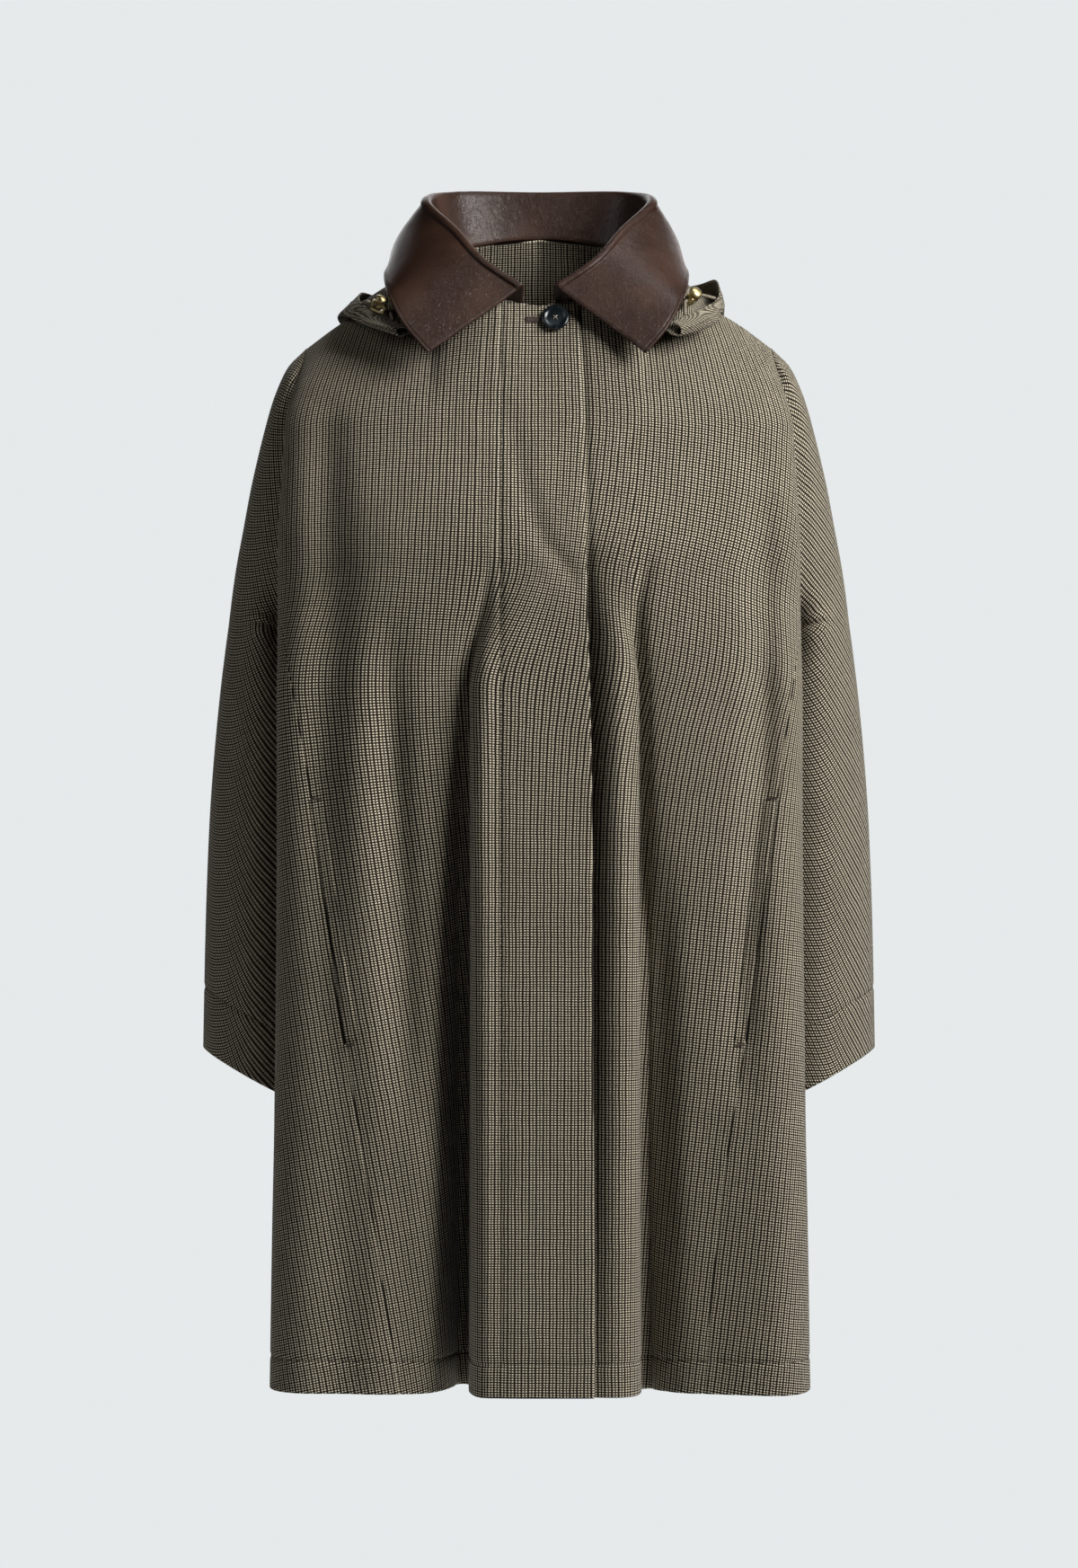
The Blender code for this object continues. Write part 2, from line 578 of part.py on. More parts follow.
def sleeve_ring(first, last):
    """One ring from the front to the back end of the sleeve's edge, for the wearer's left."""
    z = 0.5 * (first[2] + last[2])
    row = {}
    for name, values in SLEEVE.items():
        row[name] = float(cubic(-np.array(SLEEVE["end_z"], float), values, -z))
    under = ease((UNDERARM_TOP_Z - z) / (UNDERARM_TOP_Z - UNDERARM_END_Z))
    middle_z = 0.5 * (z + row["out_z"])
    front = np.array([row["front_x"], row["front_y"], middle_z])
    out = np.array([row["out_x"], row["out_y"], row["out_z"]])
    rear = np.array([row["rear_x"], row["rear_y"], middle_z])
    near_front = first + (front - first) * 0.5
    near_rear = last + (rear - last) * 0.5
    near_front = near_front + (np.array([*SLEEVE_IN_FRONT, z]) - near_front) * under
    near_rear = near_rear + (np.array([*SLEEVE_IN_REAR, z]) - near_rear) * under
    front_out = np.array([row["out_x"] - CORNER_IN * (row["out_x"] - row["front_x"]),
                          row["front_y"] + FRONT_CORNER * (row["out_y"] - row["front_y"]),
                          0.5 * (middle_z + row["out_z"])])
    rear_out = np.array([row["out_x"] - CORNER_IN * (row["out_x"] - row["rear_x"]),
                         row["rear_y"] + REAR_CORNER * (row["out_y"] - row["rear_y"]),
                         0.5 * (middle_z + row["out_z"])])
    ring = [first, near_front, front, front_out, out, rear_out, rear, near_rear, last]
    return through(ring, SLEEVE_COLUMNS)


def sleeve_grid(side):
    front = armhole_line("front")
    back = armhole_line("back")
    over = np.concatenate((front[TOP_RING_STEPS::-1], back[1:TOP_RING_STEPS + 1]))
    length = np.concatenate(([0], np.cumsum(np.linalg.norm(np.diff(over, axis=0), axis=1))))
    share = np.linspace(0, length[-1], SLEEVE_COLUMNS)
    rows = [np.stack([np.interp(share, length, over[:, k]) for k in range(3)], axis=-1)]
    for first, last in zip(front[TOP_RING_STEPS + 1:], back[TOP_RING_STEPS + 1:]):
        rows.append(sleeve_ring(first, last))
    for z in SLEEVE_ROWS:
        seam = np.array([SLEEVE_IN_X, SLEEVE_IN_Y, z])
        rows.append(sleeve_ring(seam - (0, SEAM_GAP, 0), seam + (0, SEAM_GAP, 0)))
    grid = np.array(rows)
    grid[len(rows) - len(SLEEVE_ROWS) - 1, 0, 1] -= SEAM_GAP
    grid[len(rows) - len(SLEEVE_ROWS) - 1, -1, 1] += SEAM_GAP
    along = np.clip((ARMPIT_Z - grid[:, :, 2]) / (ARMPIT_Z - SLEEVE["end_z"][-1]), 0, 1)
    grid[:, :, 2] -= CUFF_SLOPE * along * (SLEEVE["out_x"][-1] - grid[:, :, 0])
    if side == "right":
        grid[:, :, 0] *= -1
    return grid


def stations(table, names, side):
    points = []
    for name in names:
        points.append(np.array([table[name + axis] for axis in ("_x", "_y", "_z")], float).T)
    points = np.array(points)
    if side == "right":
        points[:, :, 0] *= -1
    return points


def whole_round(table, names):
    """Stations all the way round, from the right front over the back to the left front."""
    right = stations(table, names, "right")
    left = stations(table, names, "left")
    return np.concatenate((right, left[:, -2::-1]), axis=1)


COLLAR_COLUMNS = 29
COLLAR_ROLL = 4.2       # radius of the turn from stand to fall
COLLAR_ROLL_SHARE = 0.4 # and the most it takes of a low stand
TURN_POINTS = 6
FALL_SHARES = (0.34, 0.67, 1)


def collar_grid():
    lines = whole_round(COLLAR, ("seam", "roll", "edge"))
    lines[2, :len(COLLAR["edge_x"]), 0] *= COLLAR_RIGHT_WIDER
    seam, roll, edge = (through(line, COLLAR_COLUMNS) for line in lines)
    rows = []
    for j in range(COLLAR_COLUMNS):
        height = np.linalg.norm(roll[j] - seam[j])
        up = (roll[j] - seam[j]) / height
        radius = min(COLLAR_ROLL, COLLAR_ROLL_SHARE * height)
        outward = (edge[j] - roll[j]) - up * np.dot(edge[j] - roll[j], up)
        outward = outward / np.linalg.norm(outward)
        centre = roll[j] - up * radius
        turn = [centre - outward * radius * math.cos(angle) + up * radius * math.sin(angle)
                for angle in np.linspace(0, math.pi, TURN_POINTS)]
        side = "right" if roll[j, 0] < 0 else "left"
        bulge = outward * COLLAR_BULGE[side] * min(1, abs(roll[j, 0]) / COLLAR["roll_x"][3])**2
        fall = [turn[-1] + (edge[j] - turn[-1]) * share + bulge * math.sin(math.pi * share)
                for share in FALL_SHARES]
        rows.append([seam[j], 0.5 * (seam[j] + turn[0])] + turn + fall)
    return np.array(rows).transpose(1, 0, 2)


HOOD_COLUMNS = 37
HOOD_ROWS = 16
HOOD_TURN = 3.0         # half the width of the outer turn, which is a soft roll
HOOD_CLEAR = 1.7        # between the hood's sewn edge and the body's face
HOOD_LIE = 2.0          # the hood lies on the body with at least this much between them


def hood_lines():
    lines = whole_round(HOOD, ("neck", "under", "base", "turn", "rim"))
    lines[4, :len(HOOD_RIGHT_RIM), 2] += HOOD_RIGHT_RIM
    lines[2:4, :len(HOOD_RIGHT_OUT), 0] -= HOOD_RIGHT_OUT
    lines[2:4, :len(HOOD_RIGHT_DROP), 2] += HOOD_RIGHT_DROP
    return lines


def face_tree(*grids):
    """The sheets over some grids, to find places on them."""
    corners = []
    quads = []
    for grid in grids:
        rows, columns = grid.shape[:2]
        for i in range(rows - 1):
            for j in range(columns - 1):
                a = len(corners) + i * columns + j
                quads.append((a, a + 1, a + columns + 1, a + columns))
        corners.extend(Vector(point) for point in grid.reshape(-1, 3))
    return BVHTree.FromPolygons(corners, quads)


def nearest_outside(body, point):
    """Nearest point of the body's face, and the way out of the garment there."""
    near, normal = body.find_nearest(Vector(point))[:2]
    up_and_away = Vector((0, 1 if near.y > 0 else -1, 1))
    return np.array(near), np.array(normal if normal.dot(up_and_away) > 0 else -normal)


def hood_grid():
    curves = [through(line, HOOD_COLUMNS) for line in hood_lines()]
    body = face_tree(front_grid("right"), front_grid("left"), back_grid())
    for j, point in enumerate(curves[0]):
        near, outward = nearest_outside(body, point)
        curves[0][j] = near + outward * (CLOTH + HOOD_CLEAR)
    columns = []
    for neck, under, base, turn, rim in zip(*curves):
        open_way = (rim - base) / np.linalg.norm(rim - base) * HOOD_TURN
        columns.append(through([neck, under, base, turn - open_way, turn + open_way, rim], HOOD_ROWS))
    for column in columns:
        for i in range(1, HOOD_ROWS):
            near, outward = nearest_outside(body, column[i])
            column[i] += outward * max(0, CLOTH + HOOD_LIE - np.dot(column[i] - near, outward))
    return np.array(columns).transpose(1, 0, 2)


def trim_seam(grid, **edges):
    """Draws the named edges of a grid in, each by its own amount and more where the cloth bends."""
    grid = grid.copy()
    lines = {"first": (grid[:, 0], grid[:, 1], grid[:, 2]), "last": (grid[:, -1], grid[:, -2], grid[:, -3]),
             "top": (grid[0], grid[1], grid[2])}
    for edge, amount in edges.items():
        border, inside, beyond = lines[edge]
        inward = inside - border
        inward /= np.linalg.norm(inward, axis=-1, keepdims=True) + 1e-9
        onward = beyond - inside
        onward /= np.linalg.norm(onward, axis=-1, keepdims=True) + 1e-9
        bend = np.arccos(np.clip((inward * onward).sum(axis=-1, keepdims=True), 0, 1))
        border += inward * (amount + CLOTH / 2 * np.tan(bend / 2))
    return grid


def pocket_trim(grid, column):
    """What the pocket seam takes off a panel, row by row."""
    z = grid[:, column, 2]
    on_roll = (z < POCKET_SEAM_TOP_Z) & (z > ARMPIT_Z)
    return np.where(on_roll, ROLL_TRIM, FLAT_TRIM)[:, None]


def put(name, data, finish, collection):
    """One named object with its own material."""
    colour, roughness, metal = FINISHES[finish]
    shader = bpy.data.materials.new(name + "_" + finish)
    shader.use_nodes = True
    principled = shader.node_tree.nodes["Principled BSDF"]
    principled.inputs["Base Color"].default_value = colour
    principled.inputs["Roughness"].default_value = roughness
    principled.inputs["Metallic"].default_value = metal
    data.materials.append(shader)
    made = bpy.data.objects.new(name, data)
    collection.objects.link(made)
    return made


CENTRED = 0             # a panel's wall lies on both sides of its sheet
INWARD = -1             # a trim's wall lies under its sheet


def shell(name, grid, wall, offset, finish, collection, flip=False):
    """Open sheet of quads over a grid of points, given its wall by Solidify."""
    rows, columns = grid.shape[:2]
    sheet = bmesh.new()
    corners = [sheet.verts.new(point * MM) for point in grid.reshape(-1, 3)]
    for i in range(rows - 1):
        for j in range(columns - 1):
            a = i * columns + j
            face = (corners[a], corners[a + 1], corners[a + columns + 1], corners[a + columns])
            sheet.faces.new(face[::-1] if flip else face)
    mesh = bpy.data.meshes.new(name)
    sheet.to_mesh(mesh)
    sheet.free()
    mesh.shade_smooth()
    made = put(name, mesh, finish, collection)
    solid = made.modifiers.new("wall", "SOLIDIFY")
    solid.thickness = wall * MM
    solid.offset = offset
    solid.use_quality_normals = True
    return made


def turned(name, profile, steps, finish, collection):
    """Solid of revolution about its own Z from (radius, height) pairs, top to bottom."""
    outline = bmesh.new()
    corners = [outline.verts.new((radius * MM, 0, height * MM)) for radius, height in profile]
    for a, b in zip(corners, corners[1:]):
        outline.edges.new((a, b))
    mesh = bpy.data.meshes.new(name)
    outline.to_mesh(mesh)
    outline.free()
    made = put(name, mesh, finish, collection)
    screw = made.modifiers.new("turn", "SCREW")
    screw.steps = steps
    screw.render_steps = steps
    screw.use_merge_vertices = True
    screw.merge_threshold = 0.00001
    return made


def cut_out(made, name, tool, placement, cutters):
    """Cuts a mesh, placed in the piece's own frame, out of a piece; the cutter stays as a wire."""
    data = bpy.data.meshes.new(name)
    tool.to_mesh(data)
    tool.free()
    cutter = bpy.data.objects.new(name, data)
    cutter.matrix_world = made.matrix_world @ placement
    cutter.hide_render = True
    cutter.display_type = "WIRE"
    cutters.objects.link(cutter)
    cut = made.modifiers.new("cut", "BOOLEAN")
    cut.operation = "DIFFERENCE"
    cut.solver = "EXACT"
    cut.object = cutter
    return cutter


def rod(diameter, length, segments):
    tool = bmesh.new()
    radius = diameter / 2 * MM
    bmesh.ops.create_cone(tool, cap_ends=True, segments=segments, radius1=radius, radius2=radius,
                          depth=length * MM)
    return tool


def block(size):
    tool = bmesh.new()
    bmesh.ops.create_cube(tool, size=1, matrix=Matrix.Diagonal([side * MM for side in size]).to_4x4())
    return tool


def front_face(x, z):
    """Point on the right front's face, and the way it faces."""
    face = face_tree(front_grid("right"))
    point, normal = face.ray_cast(Vector((x, 2 * LEVELS["front_y"][-1], z)), Vector((0, 1, 0)))[:2]
    return np.array(point), np.array(normal if normal.y < 0 else -normal)


BUTTON_STEPS = 20
# Half the button's section, as shares of its radius and of its thickness, from the top down.
BUTTON_SECTION = {
    "radius": (0, 0.62, 0.74, 0.84, 0.95, 1, 0.9, 0.75, 0),
    "height": (0.65, 0.65, 0.94, 1, 0.85, 0.45, 0.09, 0, 0),
}


def make_button(collection, cutters):
    point, facing = front_face(*BUTTON_AT)
    lift = CLOTH / 2 + TRIM_LIFT + TRIM_THICKNESS + SEAM_GAP
    profile = [(share * BUTTON_DIAMETER / 2, height * BUTTON_THICKNESS)
               for share, height in zip(BUTTON_SECTION["radius"], BUTTON_SECTION["height"])]
    button = turned("button", profile, BUTTON_STEPS, "horn", collection)
    turn = Vector((0, 0, 1)).rotation_difference(Vector(facing))
    button.matrix_world = Matrix.Translation(Vector(point + facing * lift) * MM) @ turn.to_matrix().to_4x4()
    for k in range(4):
        angle = math.pi / 4 + k * math.pi / 2
        place = Vector((math.cos(angle), math.sin(angle), 0)) * HOLE_CIRCLE / 2 * MM
        hole = rod(HOLE_DIAMETER, 3 * BUTTON_THICKNESS, 10)
        cut_out(button, "button_hole_" + str(k + 1), hole, Matrix.Translation(place), cutters)


def make_buttonhole(collection):
    rows = []
    for across in (-0.5, 0, 0.5):
        points = []
        for share in np.linspace(0, 1, 6):
            x = BUTTON_AT[0] - BUTTONHOLE_REACH * (1 - share)
            point, facing = front_face(x, BUTTON_AT[1] - across * BUTTONHOLE_WIDTH)
            points.append(point + facing * (CLOTH / 2 + TRIM_LIFT + TRIM_THICKNESS))
        rows.append(points)
    shell("buttonhole", np.array(rows), TRIM_THICKNESS, INWARD, "binding", collection, True)


def make_welt(side, collection):
    """Narrow strip beside the slanted pocket seam, made from the front's points moved out."""
    panel = front_grid(side)
    outward = facing_front(panel) * (CLOTH / 2 + TRIM_LIFT + TRIM_THICKNESS)
    heights = [WELT_TOP_Z] + [z for z in SKIRT_ROWS if WELT_END_Z < z < WELT_TOP_Z] + [WELT_END_Z]
    rows = []
    for z in heights:
        below = int(np.argmax(panel[:, -1, 2] <= z))
        share = (panel[below - 1, -1, 2] - z) / (panel[below - 1, -1, 2] - panel[below, -1, 2])
        seam, inside = panel[below - 1, -1:-3:-1] * (1 - share) + panel[below, -1:-3:-1] * share
        lift, lift_inside = outward[below - 1, -1:-3:-1] * (1 - share) + outward[below, -1:-3:-1] * share
        reach = (WELT_FROM_SEAM + np.linspace(0, WELT_WIDTH, 4)) / np.linalg.norm(inside - seam)
        rows.append([seam + lift + (inside + lift_inside - seam - lift) * part for part in reach])
    shell("pocket_welt_" + side, np.array(rows), TRIM_THICKNESS, INWARD, "cloth", collection, side == "right")


def lock_frame(k):
    """A cord lock's own frame: X along the cord, Y through its window, Z the way the plunger points."""
    centre = Vector([LOCKS[axis][k] for axis in ("x", "y", "z")]) * MM
    up = Vector([LOCKS[axis][k] for axis in ("point_x", "point_y", "point_z")]).normalized()
    along = Vector([LOCKS[axis][k] for axis in ("cord_x", "cord_y", "cord_z")])
    along = (along - up * along.dot(up)).normalized()
    turn = Matrix((along, up.cross(along), up)).transposed().to_4x4()
    return Matrix.Translation(centre) @ turn


def make_lock(k, collection, cutters):
    """Rounded block with an oblong window across it and a blind bore from its top."""
    name = "cord_lock_" + LOCKS["side"][k]
    body = block(LOCK_SIZE)
    mesh = bpy.data.meshes.new(name)
    body.to_mesh(mesh)
    body.free()
    lock = put(name, mesh, "brass", collection)
    lock.matrix_world = lock_frame(k)
    rounding = lock.modifiers.new("rounding", "BEVEL")
    rounding.width = LOCK_ROUNDING * MM
    rounding.segments = 2
    up = Matrix.Translation((0, 0, LOCK_FLOOR * MM))
    cut_out(lock, name + "_bore", rod(LOCK_BORE, LOCK_SIZE[2], 16), up, cutters)
    opening = block((LOCK_WINDOW[0], 2 * LOCK_SIZE[1], LOCK_WINDOW[1]))
    through_edges = [edge for edge in opening.edges
                     if abs(edge.verts[0].co.y - edge.verts[1].co.y) > LOCK_SIZE[1] * MM]
    bmesh.ops.bevel(opening, geom=through_edges, offset=LOCK_WINDOW_ROUND * MM, segments=3,
                    profile=0.5, affect="EDGES")
    cut_out(lock, name + "_window", opening, Matrix(), cutters)


def make_plunger(k, collection):
    """Dome on a stem that slides in the lock's bore, shown sprung out."""
    half = LOCK_SIZE[2] / 2
    cap = PLUNGER_CAP[0] / 2
    height = PLUNGER_CAP[1]
    under = half + PLUNGER_TRAVEL + PLUNGER_CLEAR
    lowest = -half + LOCK_FLOOR + PLUNGER_TRAVEL + PLUNGER_CLEAR
    stem = PLUNGER_STEM / 2
    dome = [(cap * math.sin(angle), under + height * (DOME_EDGE + (1 - DOME_EDGE) * math.cos(angle)))
            for angle in np.linspace(0, math.pi / 2, 5)]
    profile = dome + [(cap, under), (stem, under), (stem, lowest), (0, lowest)]
    made = turned("plunger_" + LOCKS["side"][k], profile, 16, "brass", collection)
    made.matrix_world = lock_frame(k)


def make_drawcords(k, collection):
    """The cord on both sides of a lock, up to the casing along the hood's rim."""
    side = LOCKS["side"][k]
    frame = lock_frame(k)
    along = np.array(frame.col[0][:3])
    centre = np.array(frame.translation) / MM
    line = hood_lines()[4]
    half = len(line) // 2
    line = line[:half + 1] if side == "right" else line[half:][::-1]
    for label, away in (("low", -along), ("high", along)):
        place = LOCKS[label + "_rim"][k]
        rim = np.array([np.interp(place, range(half + 1), line[:, axis]) for axis in range(3)])
        start = centre + away * (LOCK_SIZE[0] / 2 + CORD_CLEAR)
        finish = rim + CORD_OVER_RIM * CORD_END
        route = through([start, start + away * CORD_STRAIGHT, finish], 11)
        name = "drawcord_" + label + "_" + side
        cord = bpy.data.curves.new(name, "CURVE")
        cord.dimensions = "3D"
        cord.bevel_depth = CORD_DIAMETER / 2 * MM
        cord.bevel_resolution = 2
        cord.use_fill_caps = True
        spline = cord.splines.new("POLY")
        spline.points.add(len(route) - 1)
        for knot, point in zip(spline.points, route):
            knot.co = (*(point * MM), 1)
        put(name, cord, "cord", collection)


def main():
    for old in list(bpy.data.objects):
        bpy.data.objects.remove(old, do_unlink=True)
    garment = bpy.data.collections.new("cape")
    cutters = bpy.data.collections.new("cutters")
    bpy.context.scene.collection.children.link(garment)
    bpy.context.scene.collection.children.link(cutters)
    for side in ("right", "left"):
        panel = front_grid(side)
        panel = trim_seam(panel, last=pocket_trim(panel, -1), top=RIDGE_TRIM)
        shell("front_" + side, panel, CLOTH, CENTRED, "cloth", garment, side == "left")
        panel = side_grid(side)
        panel = trim_seam(panel, first=pocket_trim(panel, 0), last=FLAT_TRIM)
        shell("side_panel_" + side, panel, CLOTH, CENTRED, "cloth", garment, side == "left")
        shell("sleeve_" + side, sleeve_grid(side), CLOTH, CENTRED, "cloth", garment, side == "left")
        make_welt(side, garment)
    panel = trim_seam(back_grid(), first=FLAT_TRIM, last=FLAT_TRIM, top=RIDGE_TRIM)
    shell("back", panel, CLOTH, CENTRED, "cloth", garment)
    shell("collar", collar_grid(), LEATHER, CENTRED, "leather", garment)
    shell("hood", hood_grid(), CLOTH, CENTRED, "cloth", garment)
    make_button(garment, cutters)
    make_buttonhole(garment)
    for k in range(len(LOCKS["side"])):
        make_lock(k, garment, cutters)
        make_plunger(k, garment)
        make_drawcords(k, garment)


main()
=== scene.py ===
import math

import bmesh
import bpy
import numpy as np
from mathutils import Matrix, Vector
from mathutils.bvhtree import BVHTree


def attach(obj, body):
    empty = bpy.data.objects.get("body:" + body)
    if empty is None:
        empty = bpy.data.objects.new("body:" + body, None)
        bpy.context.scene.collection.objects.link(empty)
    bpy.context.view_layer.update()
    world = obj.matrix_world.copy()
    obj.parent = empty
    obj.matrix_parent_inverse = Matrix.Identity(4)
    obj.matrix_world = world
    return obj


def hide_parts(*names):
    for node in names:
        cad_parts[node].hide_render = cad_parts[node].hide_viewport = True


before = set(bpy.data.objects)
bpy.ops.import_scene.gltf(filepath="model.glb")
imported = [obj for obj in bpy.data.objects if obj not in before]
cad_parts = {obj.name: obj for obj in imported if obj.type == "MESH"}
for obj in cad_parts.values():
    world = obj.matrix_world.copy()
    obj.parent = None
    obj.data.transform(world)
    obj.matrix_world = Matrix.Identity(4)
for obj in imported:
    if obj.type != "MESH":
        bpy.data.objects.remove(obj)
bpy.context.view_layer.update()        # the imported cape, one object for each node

# Right and left are the wearer's, who faces -Y. Tables are in millimetres, meshes in metres.
mm = 0.001
clothWall = 1.5
leatherWall = 2.4
rimRound = 0.45          # how far a rounded edge stands out, as a share of the wall


# curves and surfaces from tables

def smoothAt(at, values, where):
    at = np.asarray(at, float)
    values = np.asarray(values, float)
    step = np.diff(at)
    slope = np.diff(values) / step
    tangent = np.zeros(len(at))
    tangent[0], tangent[-1] = slope[0], slope[-1]
    for i in range(1, len(at) - 1):
        if slope[i - 1] * slope[i] > 0:
            tangent[i] = 2 * slope[i - 1] * slope[i] / (slope[i - 1] + slope[i])
    where = np.clip(where, at[0], at[-1])
    i = np.clip(np.searchsorted(at, where) - 1, 0, len(at) - 2)
    t = (where - at[i]) / step[i]
    rise = values[i + 1] - values[i]
    start, end = tangent[i] * step[i], tangent[i + 1] * step[i]
    return values[i] + start * t + (3 * rise - 2 * start - end) * t**2 + (start + end - 2 * rise) * t**3


def byHeight(table, name, z):
    return smoothAt(-np.asarray(table["z"], float), table[name], -np.asarray(z, float))


def ease(t):
    t = np.clip(t, 0, 1)
    return t * t * (3 - 2 * t)


def through(points, count=None, at=None):      # smooth curve, read at even shares of its length
    points = np.asarray(points, float)
    gaps = np.linalg.norm(np.diff(points, axis=0), axis=1) + 1e-6
    knots = np.concatenate(([0], np.cumsum(np.sqrt(gaps))))
    tangents = np.gradient(points, knots, axis=0)
    t = np.linspace(0, knots[-1], 24 * len(points))
    i = np.clip(np.searchsorted(knots, t, "right") - 1, 0, len(points) - 2)
    width = (knots[i + 1] - knots[i])[:, None]
    s = (t - knots[i])[:, None] / width
    fine = ((1 + 2 * s) * (1 - s)**2 * points[i] + s * (1 - s)**2 * width * tangents[i]
            + s * s * (3 - 2 * s) * points[i + 1] + s * s * (s - 1) * width * tangents[i + 1])
    length = lengths(fine)
    share = np.linspace(0, 1, count) if at is None else np.asarray(at, float)
    return readAt(share * length[-1], length, fine)


def readAt(where, known, line):  # points of a line where the values known along it are the given ones
    return np.stack([np.interp(where, known, part) for part in np.asarray(line).T], axis=-1)


def lengths(line, axis=0):       # length from the start to each point
    steps = np.linalg.norm(np.diff(line, axis=axis), axis=-1)
    return np.insert(np.cumsum(steps, axis=axis), 0, 0, axis=axis)


def fromEnd(grid):               # length of cloth from each point down to the last row
    return lengths(grid[::-1])[::-1]


def passed(value, start, end):   # 0 up to the start, 1 from the end on
    return np.clip((start - value) / (start - end), 0, 1)


def unit(vectors):
    return vectors / (np.linalg.norm(vectors, axis=-1, keepdims=True) + 1e-9)


def normals(grid):
    return unit(np.cross(np.gradient(grid, axis=1), np.gradient(grid, axis=0)))


def outwardOf(grid, centre):       # normals that look away from a line through the middle of a piece
    normal = normals(grid)
    away = (normal[:, :, :2] * (grid[:, :, :2] - np.asarray(centre))).sum(axis=2)
    return normal if away.mean() > 0 else -normal


# the body: level sections, three deep folds in front and five shallow ones behind

chestZ, armpitZ, hemZ = -120, -285, -903
levels = {
    "z":      (-120, -231, -285, -450, -680, -780, hemZ),
    "frontY": (-112, -150, -153, -156, -160, -162, -165),
    "ridgeX": (208, 213, 213, 213, 215, 217, 219),
    "ridgeY": (-55, -74, -74, -74, -74, -74, -74),
    "roll":   (5, 8, 8, 9, 10, 10, 10),
    "sideX":  (196, 189, 187, 166, 172, 205, 214),
    "sideY":  (0, 6, 8, 10, 10, 5, 0),
    "rearX":  (203, 200, 196, 184, 190, 204, 208),
    "rearY":  (46, 58, 60, 62, 62, 60, 55),
    "backY":  (104, 118, 121, 124, 127, 128, 130),
}
frontFolds = {
    "crestX":      (-140, 14, 165),
    "crestY":      (-142, -165, -142),
    "rightReach":  (81, 71, 71),
    "rightDepth":  (68, 92, 40),
    "rightSquare": (2.6, 5.0, 1.7),
    "leftReach":   (71, 69, 57),
    "leftDepth":   (69, 63, 68),
    "leftSquare":  (1.6, 4.0, 2.4),
    "startZ": -228, "spreadZ": -340, "growth": 0.9, "bustValleys": (-42, 68),
}
backFolds = {"count": 5, "depth": 26, "turn": 0.75}
# places on the front: 0 at the right ridge, 2 to 3 and 5 to 6 in the valleys, 8 at the left ridge
lastPlace = 8
foldPlaces = {"right": (0, 2), "middle": (3, 5), "fly": (2.9, 5), "left": (6, 8)}
valleys = {"right": (3, 2), "left": (5, 6)}
rollShare = 0.3          # of the places past a ridge, those on its rolled edge
armhole = {"z": (-120, -215, -255, -285), "front": (0.32, 0.34, 0.52, 1.0), "back": (0.12, 0.15, 0.50, 1.0)}
pocketSeam = {
    "z":     (-285, -424, -622, -736, hemZ),
    "right": (208, 184, 155, 138, 112),
    "left":  (212, 192, 166, 148, 132),
    "topZ": -230, "openFrom": -424, "openTo": -622, "softEnd": 4,
}
sidePanel = {"columns": 72, "seamZ": (hemZ, -325, -285, -265, -250, -230),
             "sideZ": (hemZ, -325, -315, -305, -295, -285), "topFade": 40}
overlap = {"z": (-22, -81, -180, -433, hemZ), "x": (30, 34, 36, 42, 44), "under": 52, "rise": (1, 32),
           "dropZ": (-22, -205, -240, -300, -440, -700, hemZ), "drop": (2.3, 2.3, 10, 19, 22, 17, 8)}
neck = ((0, -76, -22), (45, -65, -12), (70, -36, 4), (80, 6, 18), (60, 46, 36), (0, 66, 46))
shoulder = ((80, 6, 18), (130, 3, -11), (165, 1, -31), (192, 0, -51))
neckChestX, yokeRise = 90, 0.9
pulls = {"centre": np.array([0, 25, 60]), "neck": np.array([0, 90, 24]), "shoulder": np.array([0, 60, 4])}
fineness = {"yokeRows": 34, "rowStep": 4.0, "hemStep": 1.3, "hemBand": 40, "below": 10.0, "back": 141, "places": 80,
            "line": 300, "edge": 60, "right": (24, 19, 12, 14, 56), "left": (74, 14, 56)}


# eight stretches of the hem, read at even lengths: two halves to a fold, a valley between folds
def hemCurve(perStretch=60, fine=400):
    t = np.linspace(0, 1, perStretch + 1)
    angle, turn = np.linspace(0, math.pi / 2, fine), np.linspace(0, math.pi, fine)
    runs = []

    def half(fold, side):
        square, reach, depth = (frontFolds[side + name][fold] for name in ("Square", "Reach", "Depth"))
        away = -1 if side == "right" else 1
        return np.stack([frontFolds["crestX"][fold] + away * reach * np.sin(angle)**(2 / square),
                         frontFolds["crestY"][fold] + depth * (1 - np.abs(np.cos(angle))**(2 / square))])

    for fold in range(3):
        runs += [half(fold, "right")[:, ::-1], half(fold, "left")]
        if fold < 2:
            start, end = runs[-1][:, -1:], half(fold + 1, "right")[:, -1:]
            bulge = np.array([[0], [0.5 * abs(end[0, 0] - start[0, 0])]]) * np.sin(turn)
            runs.append(start + (end - start) * (1 - np.cos(turn)) / 2 + bulge)
    even = [readAt(t * lengths(run.T)[-1], lengths(run.T), run.T) for run in runs]
    return np.concatenate([k + t for k in range(lastPlace)]), *np.concatenate(even).T


hemPlace, hemX, hemY = hemCurve()
hemLength = lengths(np.stack([hemX, hemY], axis=-1))
hemParts = np.interp([0, 2.5, 5.5, lastPlace], hemPlace, hemLength)      # the ends and the middles of the valleys


def grown(z):                    # 0 where the folds start, 1 at the hem
    return passed(z, frontFolds["startZ"], hemZ)


